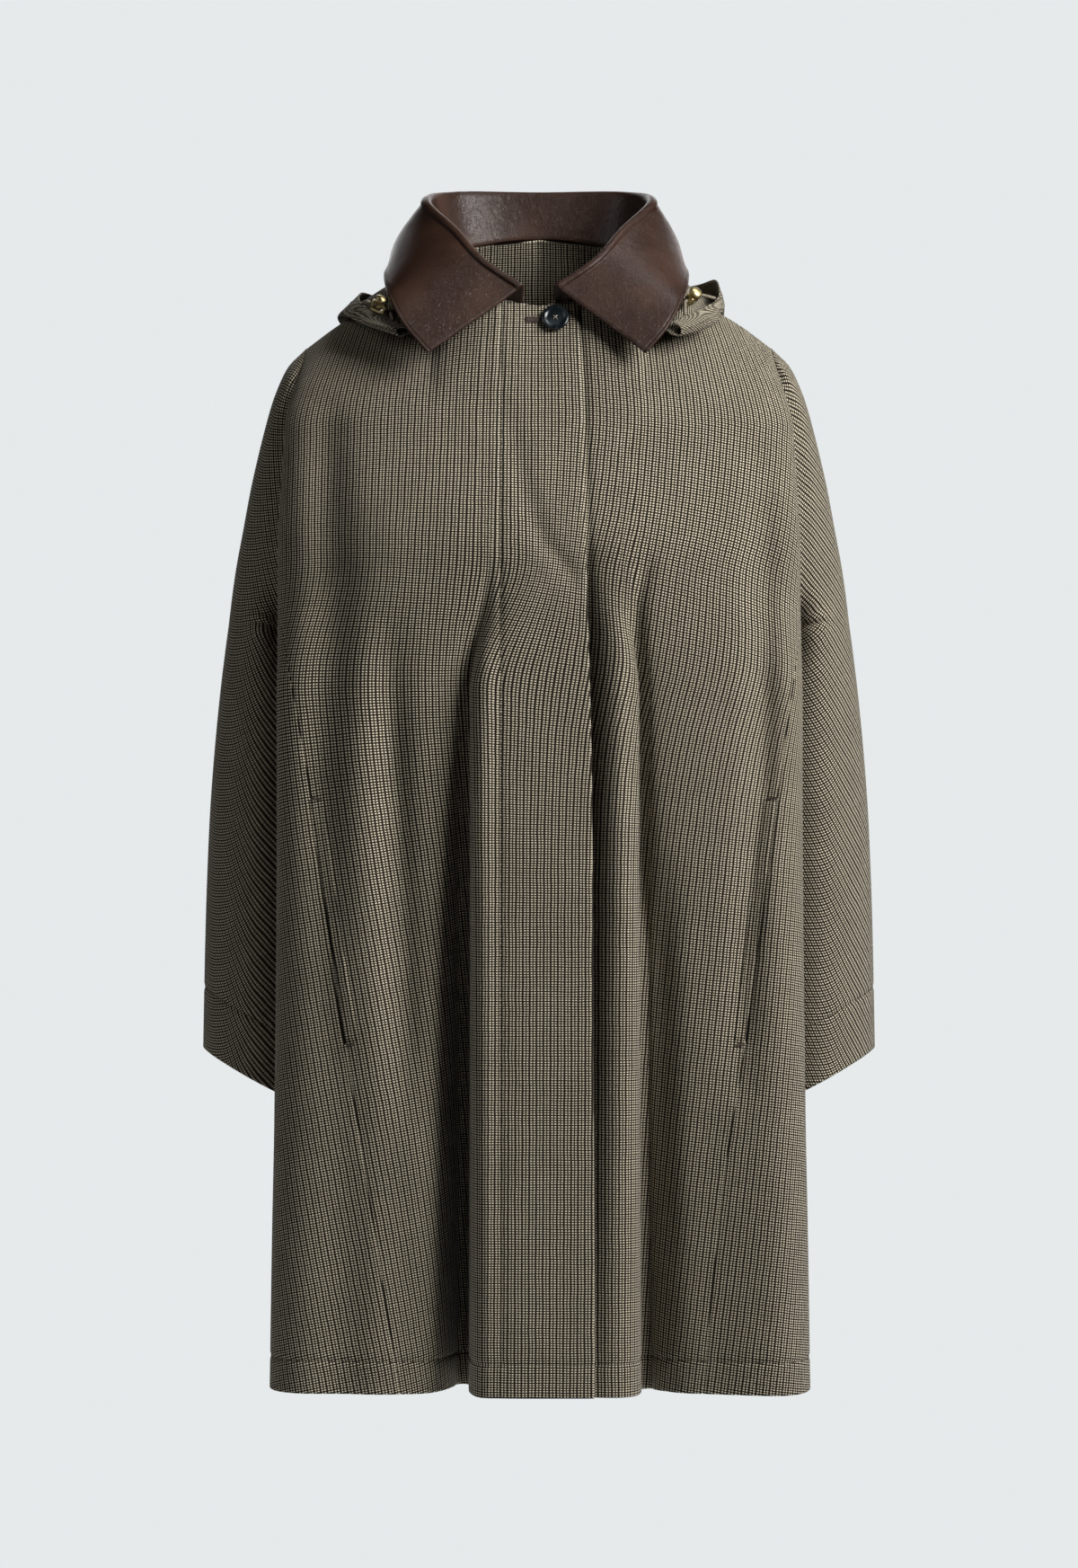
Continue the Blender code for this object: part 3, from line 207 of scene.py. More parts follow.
def frontPoints(place, z):       # over the folds, and beyond the first and last place round the rolled edges
    place, z = np.broadcast_arrays(np.asarray(place, float), np.asarray(z, float))
    at = {name: byHeight(levels, name, z) for name in levels if name != "z"}
    ridgeX, ridgeY, roll = at["ridgeX"], at["ridgeY"], at["roll"]
    spread = ease(passed(z, frontFolds["startZ"], frontFolds["spreadZ"]))
    inner = np.clip(place, 0, lastPlace)
    foldX = np.interp(inner, hemPlace, hemX) / abs(hemX[0]) * ridgeX
    foldY = np.interp(inner, hemPlace, hemY)
    third = np.interp(np.interp(inner, hemPlace, hemLength), hemParts, [0, 1, 2, 3])
    low, high = frontFolds["bustValleys"]
    plainX = np.where(third < 1, -ridgeX + (low + ridgeX) * third,
                      np.where(third < 2, low + (high - low) * (third - 1), high + (ridgeX - high) * (third - 2)))
    share = np.clip(np.abs(plainX) / ridgeX, 0, 1)
    plainY = ridgeY - (ridgeY - at["frontY"]) * np.sqrt(1 - share**2)
    x = plainX + (foldX - plainX) * spread
    y = plainY + (foldY - plainY) * grown(z)**frontFolds["growth"]
    past = np.maximum(-place, place - lastPlace)
    angle = np.clip(past / rollShare, 0, 1) * math.pi / 2
    back = np.clip((past - rollShare) / (1 - rollShare), 0, 1) * math.pi / 2
    pastX = ridgeX - roll * (1 - np.cos(angle)) - (ridgeX - roll - at["sideX"]) * np.sin(back)
    pastY = ridgeY + roll * np.sin(angle) + (at["sideY"] - ridgeY - roll) * (1 - np.cos(back))
    x = np.where(past > 0, np.where(place < 0, -pastX, pastX), x)
    return np.stack([x, np.where(past > 0, pastY, y), z], axis=-1)


def backPoints(place, z):        # -1 at the right side seam, 1 at the left one
    place, z = np.broadcast_arrays(np.asarray(place, float), np.asarray(z, float))
    names = ("sideX", "sideY", "rearX", "rearY", "backY")
    sideX, sideY, rearX, rearY, backY = (byHeight(levels, name, z) for name in names)
    turn = backFolds["turn"]
    angle = np.clip(np.abs(place) / turn, 0, 1) * math.pi / 2
    wave = 0.5 - 0.5 * np.cos(math.pi * backFolds["count"] * (place / turn + 1))
    x = rearX * np.sin(angle)
    y = rearY + (backY - rearY) * np.cos(angle) - backFolds["depth"] * grown(z) * wave * np.cos(angle)**0.5
    past = np.clip((np.abs(place) - turn) / (1 - turn), 0, 1)
    x = np.where(past > 0, rearX - (rearX - sideX) * ease(past), x)
    y = np.where(past > 0, rearY + (sideY - rearY) * past, y)
    return np.stack([np.where(place < 0, -x, x), y, z], axis=-1)


def smoothed(values, passes, axis):
    values = np.moveaxis(values.copy(), axis, 0)
    for k in range(passes):
        values[1:-1] = (values[:-2] + 2 * values[1:-1] + values[2:]) / 4
    return np.moveaxis(values, 0, axis)


flatCloth = {"columns": 420, "rows": 200, "even": 800, "mostLean": 0.34, "leanEven": (120, 60), "shiftEven": 60}


class Cut:               # where each point of a folded surface lies on the flat cloth; threads and rows stay square
    def __init__(self, surface, first, last, straight):
        self.places = np.linspace(first, last, flatCloth["columns"])
        self.z = np.linspace(chestZ, hemZ, flatCloth["rows"])
        grid = surface(self.places[None, :], self.z[:, None])
        zero = int(np.argmin(np.abs(self.places - straight)))
        s = lengths(grid, axis=1)
        s = smoothed(s - s[:, zero:zero + 1], flatCloth["even"], 0)
        along = unit(np.gradient(grid, axis=1))
        drift = (np.gradient(grid, axis=0) * along).sum(axis=2)        # how far a line of places itself leans
        lean = (np.gradient(s, axis=0) - smoothed(drift, flatCloth["even"], 0)) / abs(self.z[1] - self.z[0])
        lean = np.clip(lean, -flatCloth["mostLean"], flatCloth["mostLean"])
        for axis, passes in enumerate(flatCloth["leanEven"]):
            lean = smoothed(lean, passes, axis)
        step = 0.5 * (lean[:, 1:] + lean[:, :-1]) * np.linalg.norm(np.diff(grid, axis=1), axis=2)
        shift = np.insert(np.cumsum(step, axis=1), 0, 0, axis=1)
        shift = smoothed(shift - shift[:, zero:zero + 1], flatCloth["shiftEven"], 0)
        self.u, self.v = s, self.z[:, None] + shift

    def at(self, place, z):
        place, z = np.broadcast_arrays(np.asarray(place, float), np.asarray(z, float))
        a = np.interp(place, self.places, np.arange(len(self.places)))
        b = np.interp(-z, -self.z, np.arange(len(self.z)))
        i, j = np.minimum(b.astype(int), len(self.z) - 2), np.minimum(a.astype(int), len(self.places) - 2)
        p, q = b - i, a - j
        read = [(t[i, j] * (1 - q) + t[i, j + 1] * q) * (1 - p) + (t[i + 1, j] * (1 - q) + t[i + 1, j + 1] * q) * p
                for t in (self.u, self.v)]
        return np.stack(read, axis=-1) * mm


def placeAt(x, z, fold):         # where on a fold of the front the distance x lies, row by row
    places = np.linspace(*foldPlaces[fold], fineness["places"])
    rows = frontPoints(places[None, :], np.asarray(z, float)[:, None])[:, :, 0]
    x = np.broadcast_to(x, len(rows))
    return np.array([np.interp(value, row, places) for value, row in zip(x, rows)])


def placeIn(side, x, z):         # the same, counted from a side's ridge inward
    return placeAt(-x, z, side) if side == "right" else lastPlace - placeAt(x, z, side)


def armholeAt(name, z):
    return byHeight(armhole, name, np.maximum(z, armpitZ))


def panelBorder(side, z):        # outer edge of a front, counted from the ridge inward
    z = np.asarray(z, float)
    high, top = pocketSeam["topZ"], pocketSeam["z"][0]
    seam = placeIn(side, byHeight(pocketSeam, side, z), z)
    start = -armholeAt("front", np.full_like(z, high))
    topSeam = placeIn(side, pocketSeam[side][0], [top])[0]
    between = start + (topSeam - start) * passed(z, high, top)
    return np.where(z > high, -armholeAt("front", z), np.where(z > top, between, seam))


def backBorder(z):
    return backFolds["turn"] + (1 - backFolds["turn"]) * armholeAt("back", z)


def rowHeights(start, end=hemZ):
    fine = end + fineness["hemBand"]
    coarse = np.linspace(start, fine, int((start - fine) / fineness["rowStep"]) + 1)
    return np.concatenate((coarse, np.linspace(fine, end, int(fineness["hemBand"] / fineness["hemStep"]) + 1)[1:]))


def chestLine(face):
    if face == "front":
        places = np.linspace(chestCentre, lastPlace + armholeAt("front", chestZ), fineness["line"])
        line = frontPoints(places, chestZ)
    else:
        line = backPoints(np.linspace(0, backBorder(chestZ), fineness["line"]), chestZ)
    return line, lengths(line)


def topEdge(face, chest):        # neck and shoulder seam above a chest row, and how the cloth arrives there
    seam = through(neck[:4] if face == "front" else neck[:2:-1], fineness["edge"])
    line, length = chestLine(face)
    widest = np.argmax(line[:, 0])
    neckReach = np.interp(neckChestX, line[:widest, 0], length[:widest])
    tops, ways = [], []
    for point in chest:
        side = -1 if point[0] < 0 else 1
        along = length[np.argmin(np.linalg.norm(line - point * (side, 1, 1), axis=1))]
        if along <= neckReach:
            share = along / neckReach
            top = readAt(neck[3][0] * share, seam[:, 0], seam)
            way = pulls["centre"] + (pulls["neck"] - pulls["centre"]) * share
        else:
            share = (along - neckReach) / (length[-1] - neckReach)
            top = through(shoulder, at=[share])[0]
            way = pulls["neck"] + (pulls["shoulder"] - pulls["neck"]) * share
        tops.append(top * (side, 1, 1))
        ways.append(way if face == "front" else way * (1, -1, 1))
    return np.array(tops), np.array(ways)


def yokeRows(face, chest, below, count):
    tops, ways = topEdge(face, chest)
    rise = chest - below
    rise = rise / np.abs(rise[:, 2:]) * (tops - chest)[:, 2:] * yokeRise
    rows = []
    for u in 1 - np.arange(count) / count:
        rows.append((1 + 2 * u) * (1 - u)**2 * chest + u * (1 - u)**2 * rise
                    + u * u * (3 - 2 * u) * tops + u * u * (u - 1) * ways)
    return np.array(rows)


def withYoke(yoke, rows, cut):   # carries the cut of a chest row on up its columns
    rise = fromEnd(np.concatenate((yoke, rows[:1])))[:-1, :, None] * mm
    return np.concatenate((yoke, rows)), np.concatenate((cut[:1] + rise * (0, 1), cut))


fly = {"stitchX": -31, "band": 9, "valleyEnd": 3.02, "narrowest": 0.02}        # line of the hidden fastening


# soft troughs down the front: height, distance from the middle, depth and half width; a ridge has less than 0
creases = {
    "rightOuter":  ((-90, -172, 0, 16), (-130, -172, 6, 16), (-288, -167, 10, 20), (-403, -174, 9, 16),
                    (-540, -172, 5, 15), (-690, -165, 0, 15)),
    "rightRidge":  ((-250, -146, 0, 15), (-403, -144, -3, 15), (-576, -138, -2, 13), (-690, -136, 0, 13)),
    "rightInner":  ((-270, -120, 0, 15), (-330, -119, 6, 14), (-403, -116, 12, 14), (-576, -108, 11, 14),
                    (-700, -104, 0, 15)),
    "rightStart":  ((-225, -38, 0, 6), (-262, -43, 2.5, 5), (-310, -53, 6, 6), (-430, -58, 2, 7), (-480, -60, 0, 8)),
    "flyRidge":    ((-285, -44, 0, 8), (-340, -46, -5, 9), (-450, -48, -8, 9), (-700, -48, -8, 9),
                    (-905, -48, -6, 9)),
    "rightValley": ((-350, -60, 0, 6), (-450, -63, 10, 9), (-600, -66, 18, 12), (-760, -66, 19, 12),
                    (-905, -64, 13, 11)),
    "rightLow":    ((-560, -160, 0, 30), (-700, -160, 7, 30), (-800, -160, 10, 30), (-905, -160, 11, 30)),
    "rightCrest":  ((-520, -90, 0, 20), (-640, -90, -7, 20), (-760, -88, -12, 20), (-905, -87, -12, 20)),
    "leftOuter":   ((-130, 182, 0, 14), (-230, 182, 11, 13), (-400, 180, 12, 13), (-480, 173, 10, 13),
                    (-590, 165, 8, 14), (-690, 163, 0, 14)),
    "leftStart":   ((-225, 90, 0, 6), (-245, 85, 4, 6), (-275, 79, 6, 7), (-340, 78, 9, 8), (-480, 81, 8, 9),
                    (-560, 83, 0, 9)),
    "leftInner":   ((-460, 98, 0, 12), (-580, 98, 8, 12), (-740, 98, 10, 13), (-905, 97, 6, 13)),
    "leftLow":     ((-480, 140, 0, 26), (-620, 140, 3, 26), (-760, 140, 5, 26), (-905, 140, 5, 26)),
    "leftRim":     ((-420, 208, 0, 28), (-560, 208, -10, 28), (-760, 208, -14, 28), (-905, 208, -14, 28)),
    "edgeShade":   ((-24, 33.5, 1.6, 3), (-81, 37.5, 1.7, 3), (-180, 39.5, 1.8, 3), (-300, 42, 0, 3)),
    "buttonPull":  ((-90, -28, 0, 9), (-145, -18, 2.4, 9), (-215, 3, 3, 9), (-238, 22, 2.4, 9), (-262, 34, 0, 9)),
    "fly":         ((-20, -30.5, 1.3, 2.4), (-250, -30.5, 1.3, 2.4), (-320, -30.5, 0.9, 2.2),
                    (-876, -30.5, 0.9, 2.2)),
}
creaseFade = (-25, -70)          # none behind the first distance from front to back, all of them before the second


def creased(grid):
    grid, flat = grid.copy(), grid
    x, y, z = np.moveaxis(flat, 2, 0)
    shown = ease(passed(y, *creaseFade))
    for line in creases.values():
        height, *rest = np.array(line, float).T
        middle, depth, wide = (smoothAt(-height, values, -z) for values in rest)
        inside = (z <= height[0]) & (z >= height[-1])
        grid[:, :, 1] += np.where(inside, shown * depth * np.exp(-((x - middle) / wide)**2), 0)
    return grid


def frontColumns(side, z):       # from the free edge past its valley to the outer edge, closer at the fly
    border, edgeX = panelBorder(side, z), byHeight(overlap, "x", z)
    valley = [np.full_like(z, place) for place in valleys[side]]
    if side == "right":
        flyOut = np.maximum(placeAt(fly["stitchX"] - fly["band"], z, "fly"), fly["valleyEnd"])
        flyIn = np.maximum(placeAt(fly["stitchX"] + fly["band"], z, "middle"), flyOut + fly["narrowest"])
        knots = [placeAt(edgeX, z, "middle"), flyIn, flyOut, *valley, border]
    else:
        knots = [placeAt(edgeX - overlap["under"], z, "middle"), *valley, lastPlace - border]
    runs = [np.linspace(a, b, n, axis=-1)[:, 1:] for a, b, n in zip(knots, knots[1:], fineness[side])]
    return np.concatenate([knots[0][:, None]] + runs, axis=1)


def frontGrid(side):
    z = rowHeights(chestZ)
    places = frontColumns(side, z)
    rows = frontPoints(places, z[:, None])
    below = frontPoints(places[0], chestZ - fineness["below"])
    yoke = yokeRows("front", rows[0], below, fineness["yokeRows"])
    grid, cut = withYoke(yoke, rows, frontCut.at(places, z[:, None]))
    if side == "left":           # let down behind the right front's edge
        edgeX = byHeight(overlap, "x", np.minimum(grid[:, :, 2], overlap["z"][0]))
        drop = smoothAt(-np.array(overlap["dropZ"], float), overlap["drop"], -grid[:, :, 2])
        drop = drop * (1 - passed(grid[:, :, 0] - edgeX, *overlap["rise"]))**2
        grid = grid + (0, 1, 0) * drop[:, :, None]
    return creased(grid), cut


def sideGrid(side):              # from the pocket seam round the rolled edge to the side seam
    shares, topZ = np.linspace(0, 1, sidePanel["columns"]), pocketSeam["topZ"]
    seamZ = rowHeights(topZ)
    sideZ = np.interp(seamZ, sidePanel["seamZ"], sidePanel["sideZ"])
    z = seamZ[:, None] + (sideZ - seamZ)[:, None] * shares
    tableZ = np.linspace(topZ, hemZ, fineness["line"])
    inner = np.interp(-z, -tableZ, panelBorder(side, tableZ))
    place = inner + (-1 - inner) * shares
    place = place if side == "right" else lastPlace - place
    grid, cut = frontPoints(place, z), frontCut.at(place, z)
    edgeZ = np.linspace(topZ, armpitZ, fineness["edge"])       # the top row follows the armhole
    border, hole = panelBorder(side, edgeZ), armholeAt("front", edgeZ)
    edge = frontPoints(-hole if side == "right" else lastPlace + hole, edgeZ)
    top = readAt(shares, (border + hole) / (border + 1), edge)
    fade = ease(1 - (topZ - seamZ) / sidePanel["topFade"])[:, None, None]
    return creased(grid + (top - grid[0]) * fade), cut


def backGrid():
    z = rowHeights(chestZ)
    shares = np.linspace(-1, 1, fineness["back"])
    places = shares * backBorder(z)[:, None]
    rows = backPoints(places, z[:, None])
    below = backPoints(shares * backBorder(chestZ), chestZ - fineness["below"])
    yoke = yokeRows("back", rows[0], below, fineness["yokeRows"])
    return withYoke(yoke, rows, backCut.at(places, z[:, None]))


chestCentre = placeAt(0, [chestZ], "middle")[0]
frontCut = Cut(frontPoints, -1, lastPlace + 1, chestCentre)
backCut = Cut(backPoints, -1, 1, 0)


# sleeves: rings from the front to the back end of the armhole, then round the arm

sleeve = {
    "endZ":   (-74, -86, -102, -124, -152, -190, -240, -285, -330, -430, -530, -631),
    "outZ":   (-53, -64, -83, -110, -144, -188, -240, -285, -330, -430, -530, -631),
    "outX":   (194, 206, 216, 225, 234, 243, 253, 259, 265, 274, 278, 280),
    "outY":   (0, 1, 2, 4, 8, 14, 20, 24, 26, 30, 30, 30),
    "frontX": (196, 203, 210, 217, 222, 226, 228, 228, 228, 230, 232, 233),
    "frontY": (-26, -30, -34, -38, -41, -43, -44, -45, -46, -46, -46, -46),
    "rearX":  (196, 203, 209, 216, 222, 228, 232, 234, 235, 236, 237, 238),
    "rearY":  (28, 36, 44, 55, 68, 82, 98, 110, 117, 124, 126, 128),
}
sleeveCut = {
    "seam": (189, 8), "frontIn": (195, -30), "rearIn": (201, 72), "fadeZ": -53, "fullZ": -92, "offBody": 0.4,
    "offShoulder": 0.6, "lookIn": 0.02, "seamGap": 0.3, "underZ": (-250, -340), "slope": 0.53, "cornerIn": 0.28,
    "frontCorner": 0.38, "rearCorner": 0.32, "centre": (235, 40), "columns": 150, "rows": 128, "hemFrom": 0.88,
    "hemRows": 44, "grain": 32,
}
ringHeights = {"yoke": 5, "over": 2, "chest": (-120, -165, -205), "hole": (-230, -250, -265, -276, -285),
               "arm": (-307, -330, -380, -430, -480, -530, -580, -631)}


def bodyEdge(face, level, z, inside=0):
    if face == "front":
        return frontPoints([lastPlace + armholeAt("front", level) - inside], z)
    return backPoints([backBorder(level) - inside], z)


def armholeLine(face):           # the sleeve's edge from the shoulder to the armpit, off the body's face
    chest, below = bodyEdge(face, chestZ, chestZ), bodyEdge(face, chestZ, chestZ - fineness["below"])
    line = [row[0] for row in yokeRows(face, chest, below, ringHeights["yoke"])]
    line += [bodyEdge(face, z, z)[0] for z in ringHeights["chest"] + ringHeights["hole"]]
    moved = []
    for point in line:
        z = min(point[2], chestZ)
        x, y = (bodyEdge(face, z, z)[0] - bodyEdge(face, z, z, sleeveCut["lookIn"])[0])[:2]
        out = unit(np.array([y, -x, 0])) * (1 if face == "front" else -1) * (clothWall + sleeveCut["offBody"])
        folded = passed(point[2], sleeveCut["fadeZ"], sleeveCut["fullZ"])
        moved.append(point + out * folded + np.array([sleeveCut["offShoulder"], 0, 0]) * (1 - folded))
    return np.array(moved)


def sleeveRing(first, last):
    z = 0.5 * (first[2] + last[2])
    at = {name: float(smoothAt(-np.array(sleeve["endZ"], float), values, -z)) for name, values in sleeve.items()}
    under = ease(passed(z, *sleeveCut["underZ"]))
    outX, outY, outZ = at["outX"], at["outY"], at["outZ"]
    middleZ = 0.5 * (z + outZ)
    halves = []
    for face, end in (("front", first), ("rear", last)):
        x, y = at[face + "X"], at[face + "Y"]
        middle = np.array([x, y, middleZ])
        near = 0.5 * (end + middle)
        near = near + (np.array([*sleeveCut[face + "In"], z]) - near) * under
        corner = np.array([outX - sleeveCut["cornerIn"] * (outX - x), y + sleeveCut[face + "Corner"] * (outY - y),
                           0.5 * (middleZ + outZ)])
        halves.append([end, near, middle, corner])
    return through(halves[0] + [np.array([outX, outY, outZ])] + halves[1][::-1], sleeveCut["columns"])


def sleeveGrid(side):
    front, back = armholeLine("front"), armholeLine("back")
    over = ringHeights["over"]
    top = np.concatenate((front[over::-1], back[1:over + 1]))
    rows = [readAt(np.linspace(0, lengths(top)[-1], sleeveCut["columns"]), lengths(top), top)]
    rows += [sleeveRing(first, last) for first, last in zip(front[over + 1:], back[over + 1:])]
    gap = np.array([0, sleeveCut["seamGap"], 0])
    rows[-1][0] -= gap
    rows[-1][-1] += gap
    for z in ringHeights["arm"]:
        seam = np.array([*sleeveCut["seam"], z])
        rows.append(sleeveRing(seam - gap, seam + gap))
    grid = np.array(rows)
    along = passed(grid[:, :, 2], armpitZ, sleeve["endZ"][-1])
    grid[:, :, 2] -= sleeveCut["slope"] * along * (sleeve["outX"][-1] - grid[:, :, 0])
    share, low = np.linspace(0, 1, sleeveCut["rows"]), sleeveCut["hemFrom"]
    share = np.concatenate((share[share < low], np.linspace(low, 1, sleeveCut["hemRows"])))      # closer at the hem
    grid = np.stack([through(grid[:, j], at=share) for j in range(grid.shape[1])], axis=1)
    return grid * (-1, 1, 1) if side == "right" else grid


# meshes: a closed shell with rounded rims over a grid, and its cut as the UV map

def trimmed(grid, **edges):      # draws the named edges of a grid in
    grid = grid.copy()
    lines = {"first": (grid[:, 0], grid[:, 1]), "last": (grid[:, -1], grid[:, -2]), "top": (grid[0], grid[1])}
    for edge, amount in edges.items():
        border, inside = lines[edge]
        border += unit(inside - border) * amount
    return grid


def unrolled(grid, column=0):    # flat cut in metres, from lengths along rows and down columns
    s = lengths(grid, axis=1)
    return np.stack([s - s[:, column:column + 1], -lengths(grid)], axis=-1) * mm


# lengths along rows from the outermost line, and down threads that stay beside it
def hangingCut(grid, turn, band=2):
    s, outer = lengths(grid, axis=1), np.abs(grid[:, :, 0])
    weight = np.exp((outer - outer.max(axis=1, keepdims=True)) / band)
    u = s - (s * weight).sum(axis=1, keepdims=True) / weight.sum(axis=1, keepdims=True)
    t = np.zeros_like(u)
    for k in range(1, len(u)):
        reach = np.clip(u[k], u[k - 1, 0], u[k - 1, -1])
        above, here = (readAt(reach, u[i], grid[i]) for i in (k - 1, k))
        t[k] = np.interp(reach, u[k - 1], t[k - 1]) + np.linalg.norm(here - above, axis=1)
    c, n = math.cos(math.radians(turn)), math.sin(math.radians(turn))
    return np.stack([c * u + n * t, n * u - c * t], axis=-1) * mm


def gridQuads(rows, columns, first=0):
    a = first + (np.arange(rows - 1)[:, None] * columns + np.arange(columns - 1)).reshape(-1)
    return np.stack([a, a + 1, a + columns + 1, a + columns], axis=1)


def newMesh(name, points, faces, edges=()):
    mesh = bpy.data.meshes.new(name)
    mesh.from_pydata(points, edges, faces)
    return mesh


def linked(name, data):
    made = bpy.data.objects.new(name, data)
    bpy.context.scene.collection.objects.link(made)
    return made


def shellMesh(name, grid, uv, wall):
    rows, columns = grid.shape[:2]
    count = rows * columns
    flat, normal = grid.reshape(-1, 3), normals(grid).reshape(-1, 3)
    index = np.arange(count).reshape(rows, columns)
    ring = np.concatenate((index[0], index[1:, -1], index[-1, -2::-1], index[-2:0:-1, 0]))
    inside = np.concatenate((index[1], index[1:, -2], index[-2, -2::-1], index[-2:0:-1, 1]))
    rimPoints = flat[ring] + unit(flat[ring] - flat[inside]) * wall * rimRound
    points = np.concatenate((flat + normal * wall / 2, flat - normal * wall / 2, rimPoints))
    outer = gridQuads(rows, columns)
    rim = 2 * count + np.arange(len(ring))
    nextRing, nextRim = np.roll(ring, -1), np.roll(rim, -1)
    rims = np.concatenate((np.stack([nextRing, ring, rim, nextRim], axis=1),
                           np.stack([nextRim, rim, count + ring, count + nextRing], axis=1)))
    faces = np.concatenate((outer, outer[:, ::-1] + count, rims))
    mesh = newMesh(name, (points * mm).tolist(), faces.tolist())
    layer = mesh.uv_layers.new(name="cut")
    flatUv = uv.reshape(-1, 2)
    cornerUv = np.concatenate((flatUv, flatUv, flatUv[ring]))
    corners = np.zeros(len(mesh.loops), np.int32)
    mesh.loops.foreach_get("vertex_index", corners)
    layer.data.foreach_set("uv", cornerUv[corners].astype(np.float32).reshape(-1))
    mesh.shade_smooth()
    return mesh


def addPiece(name, mesh, stuff, stands=None, body="garment"):
    piece = linked(name, mesh)
    mesh.materials.clear()
    mesh.materials.append(materials[stuff])
    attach(piece, body)
    if stands:
        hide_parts(stands)
    return piece


# the collar, one leaf of leather, and the hood laid back behind it

collar = {
    "seamX": (14, 45, 66, 80, 60, 0), "seamY": (-74.5, -65, -43, 6, 46, 66),
    "seamZ": (-18.4, -10, 2.2, 19.5, 37.2, 47.1),
    "rollX": (15, 46, 68, 95, 73, 0), "rollY": (-86, -76, -48, 5, 52, 74), "rollZ": (-6, 16, 43, 74, 84, 86),
    "edgeX": (87, 104, 117, 122, 98, 0), "edgeY": (-108, -100, -80, -14, 78, 102),
    "edgeZ": (-62, -41, -16, 13, 20, 26),
}
collarCut = {"rightWider": 1.035, "bulge": {"right": 10, "left": 8}, "roll": (2.2, 4.2), "rollShare": 0.4,
             "rollOver": 110, "columns": 221, "standRows": 12, "turnRows": 12, "fallRows": (30, 12), "edgeBand": 0.93}
hood = {
    "neckX":  (95, 96, 91, 89, 72, 38, 0), "neckY": (-72, -56, -30, 5, 52, 68, 74),
    "neckZ":  (-32, -4, 14, 23, 33, 42, 44),
    "underX": (101, 112, 117, 120, 104, 62, 0), "underY": (-78, -60, -33, 2, 66, 98, 110),
    "underZ": (-39, -15, -1, 3, -2, -20, -34),
    "baseX":  (107, 128, 132, 136, 132, 92, 0), "baseY": (-85, -64, -38, 0, 70, 130, 134),
    "baseZ":  (-45, -31, -19, -8, -30, -112, -196),
    "turnX":  (115, 141, 148, 152, 150, 104, 0), "turnY": (-88, -66, -38, 0, 76, 160, 184),
    "turnZ":  (-44, -35, -24, -17, -33, -104, -176),
    "rimX":   (109, 131, 147, 147, 132, 84, 0), "rimY": (-86, -71, -46, -14, 48, 116, 150),
    "rimZ":   (-36, -25, -13, 4, 6, 2, -8),
}
hoodCut = {"rightRim": (-4, -5, -3, -10, -10, -4, 0), "rightOut": (0, 2, 9, 14, 7, 0, 0),
           "rightDrop": (0, 0, -2, -7, -2, 0, 0), "columns": 241, "rows": 74, "turn": 3.0, "clear": 1.7, "lie": 2.0}


def wholeRound(table, names):    # stations from the right front over the back to the left front
    left = np.array([np.array([table[name + axis] for axis in "XYZ"], float).T for name in names])
    return np.concatenate((left * (-1, 1, 1), left[:, -2::-1]), axis=1)


def collarGrid():
    lines = wholeRound(collar, ("seam", "roll", "edge"))
    lines[2, :len(collar["edgeX"]), 0] *= collarCut["rightWider"]
    (wide, close), band = collarCut["fallRows"], collarCut["edgeBand"]      # closer rows at the stitched edge
    share = np.concatenate((np.linspace(0, band, wide + 1)[1:], np.linspace(band, 1, close + 1)[1:]))[:, None]
    angles = np.linspace(0, math.pi, collarCut["turnRows"])[:, None]
    tight, loose = collarCut["roll"]           # the roll is tighter towards the front ends
    columns = []
    for a, b, c in zip(*(through(line, collarCut["columns"]) for line in lines)):
        height = np.linalg.norm(b - a)
        up = (b - a) / height
        radius = tight + (loose - tight) * ease((b[1] - collar["rollY"][0]) / collarCut["rollOver"])
        radius = min(radius, collarCut["rollShare"] * height)
        outward = unit((c - b) - up * np.dot(c - b, up))
        turn = b - up * radius - outward * radius * np.cos(angles) + up * radius * np.sin(angles)
        stand = a + (turn[0] - a) * np.linspace(0, 1, collarCut["standRows"] + 1)[:-1, None]
        out = collarCut["bulge"]["right" if b[0] < 0 else "left"] * min(1, abs(b[0]) / collar["rollX"][3])**2
        fall = turn[-1] + (c - turn[-1]) * share + outward * out * np.sin(math.pi * share)
        columns.append(np.concatenate((stand, turn, fall)))
    return np.array(columns).transpose(1, 0, 2)


def faceTree(*grids):
    corners, quads = [], []
    for grid in grids:
        quads.extend(gridQuads(*grid.shape[:2], len(corners)).tolist())
        corners.extend(grid.reshape(-1, 3).tolist())
    return BVHTree.FromPolygons(corners, quads)


def nearestOutside(tree, point):
    near, normal = tree.find_nearest(Vector(point))[:2]
    upAway = Vector((0, 1 if near.y > 0 else -1, 1))
    return np.array(near), np.array(normal if normal.dot(upAway) > 0 else -normal)


def hoodLines():
    lines = wholeRound(hood, ("neck", "under", "base", "turn", "rim"))
    right = len(hood["rimX"])
    lines[4, :right, 2] += hoodCut["rightRim"]
    lines[2:4, :right, 0] -= hoodCut["rightOut"]
    lines[2:4, :right, 2] += hoodCut["rightDrop"]
    return lines


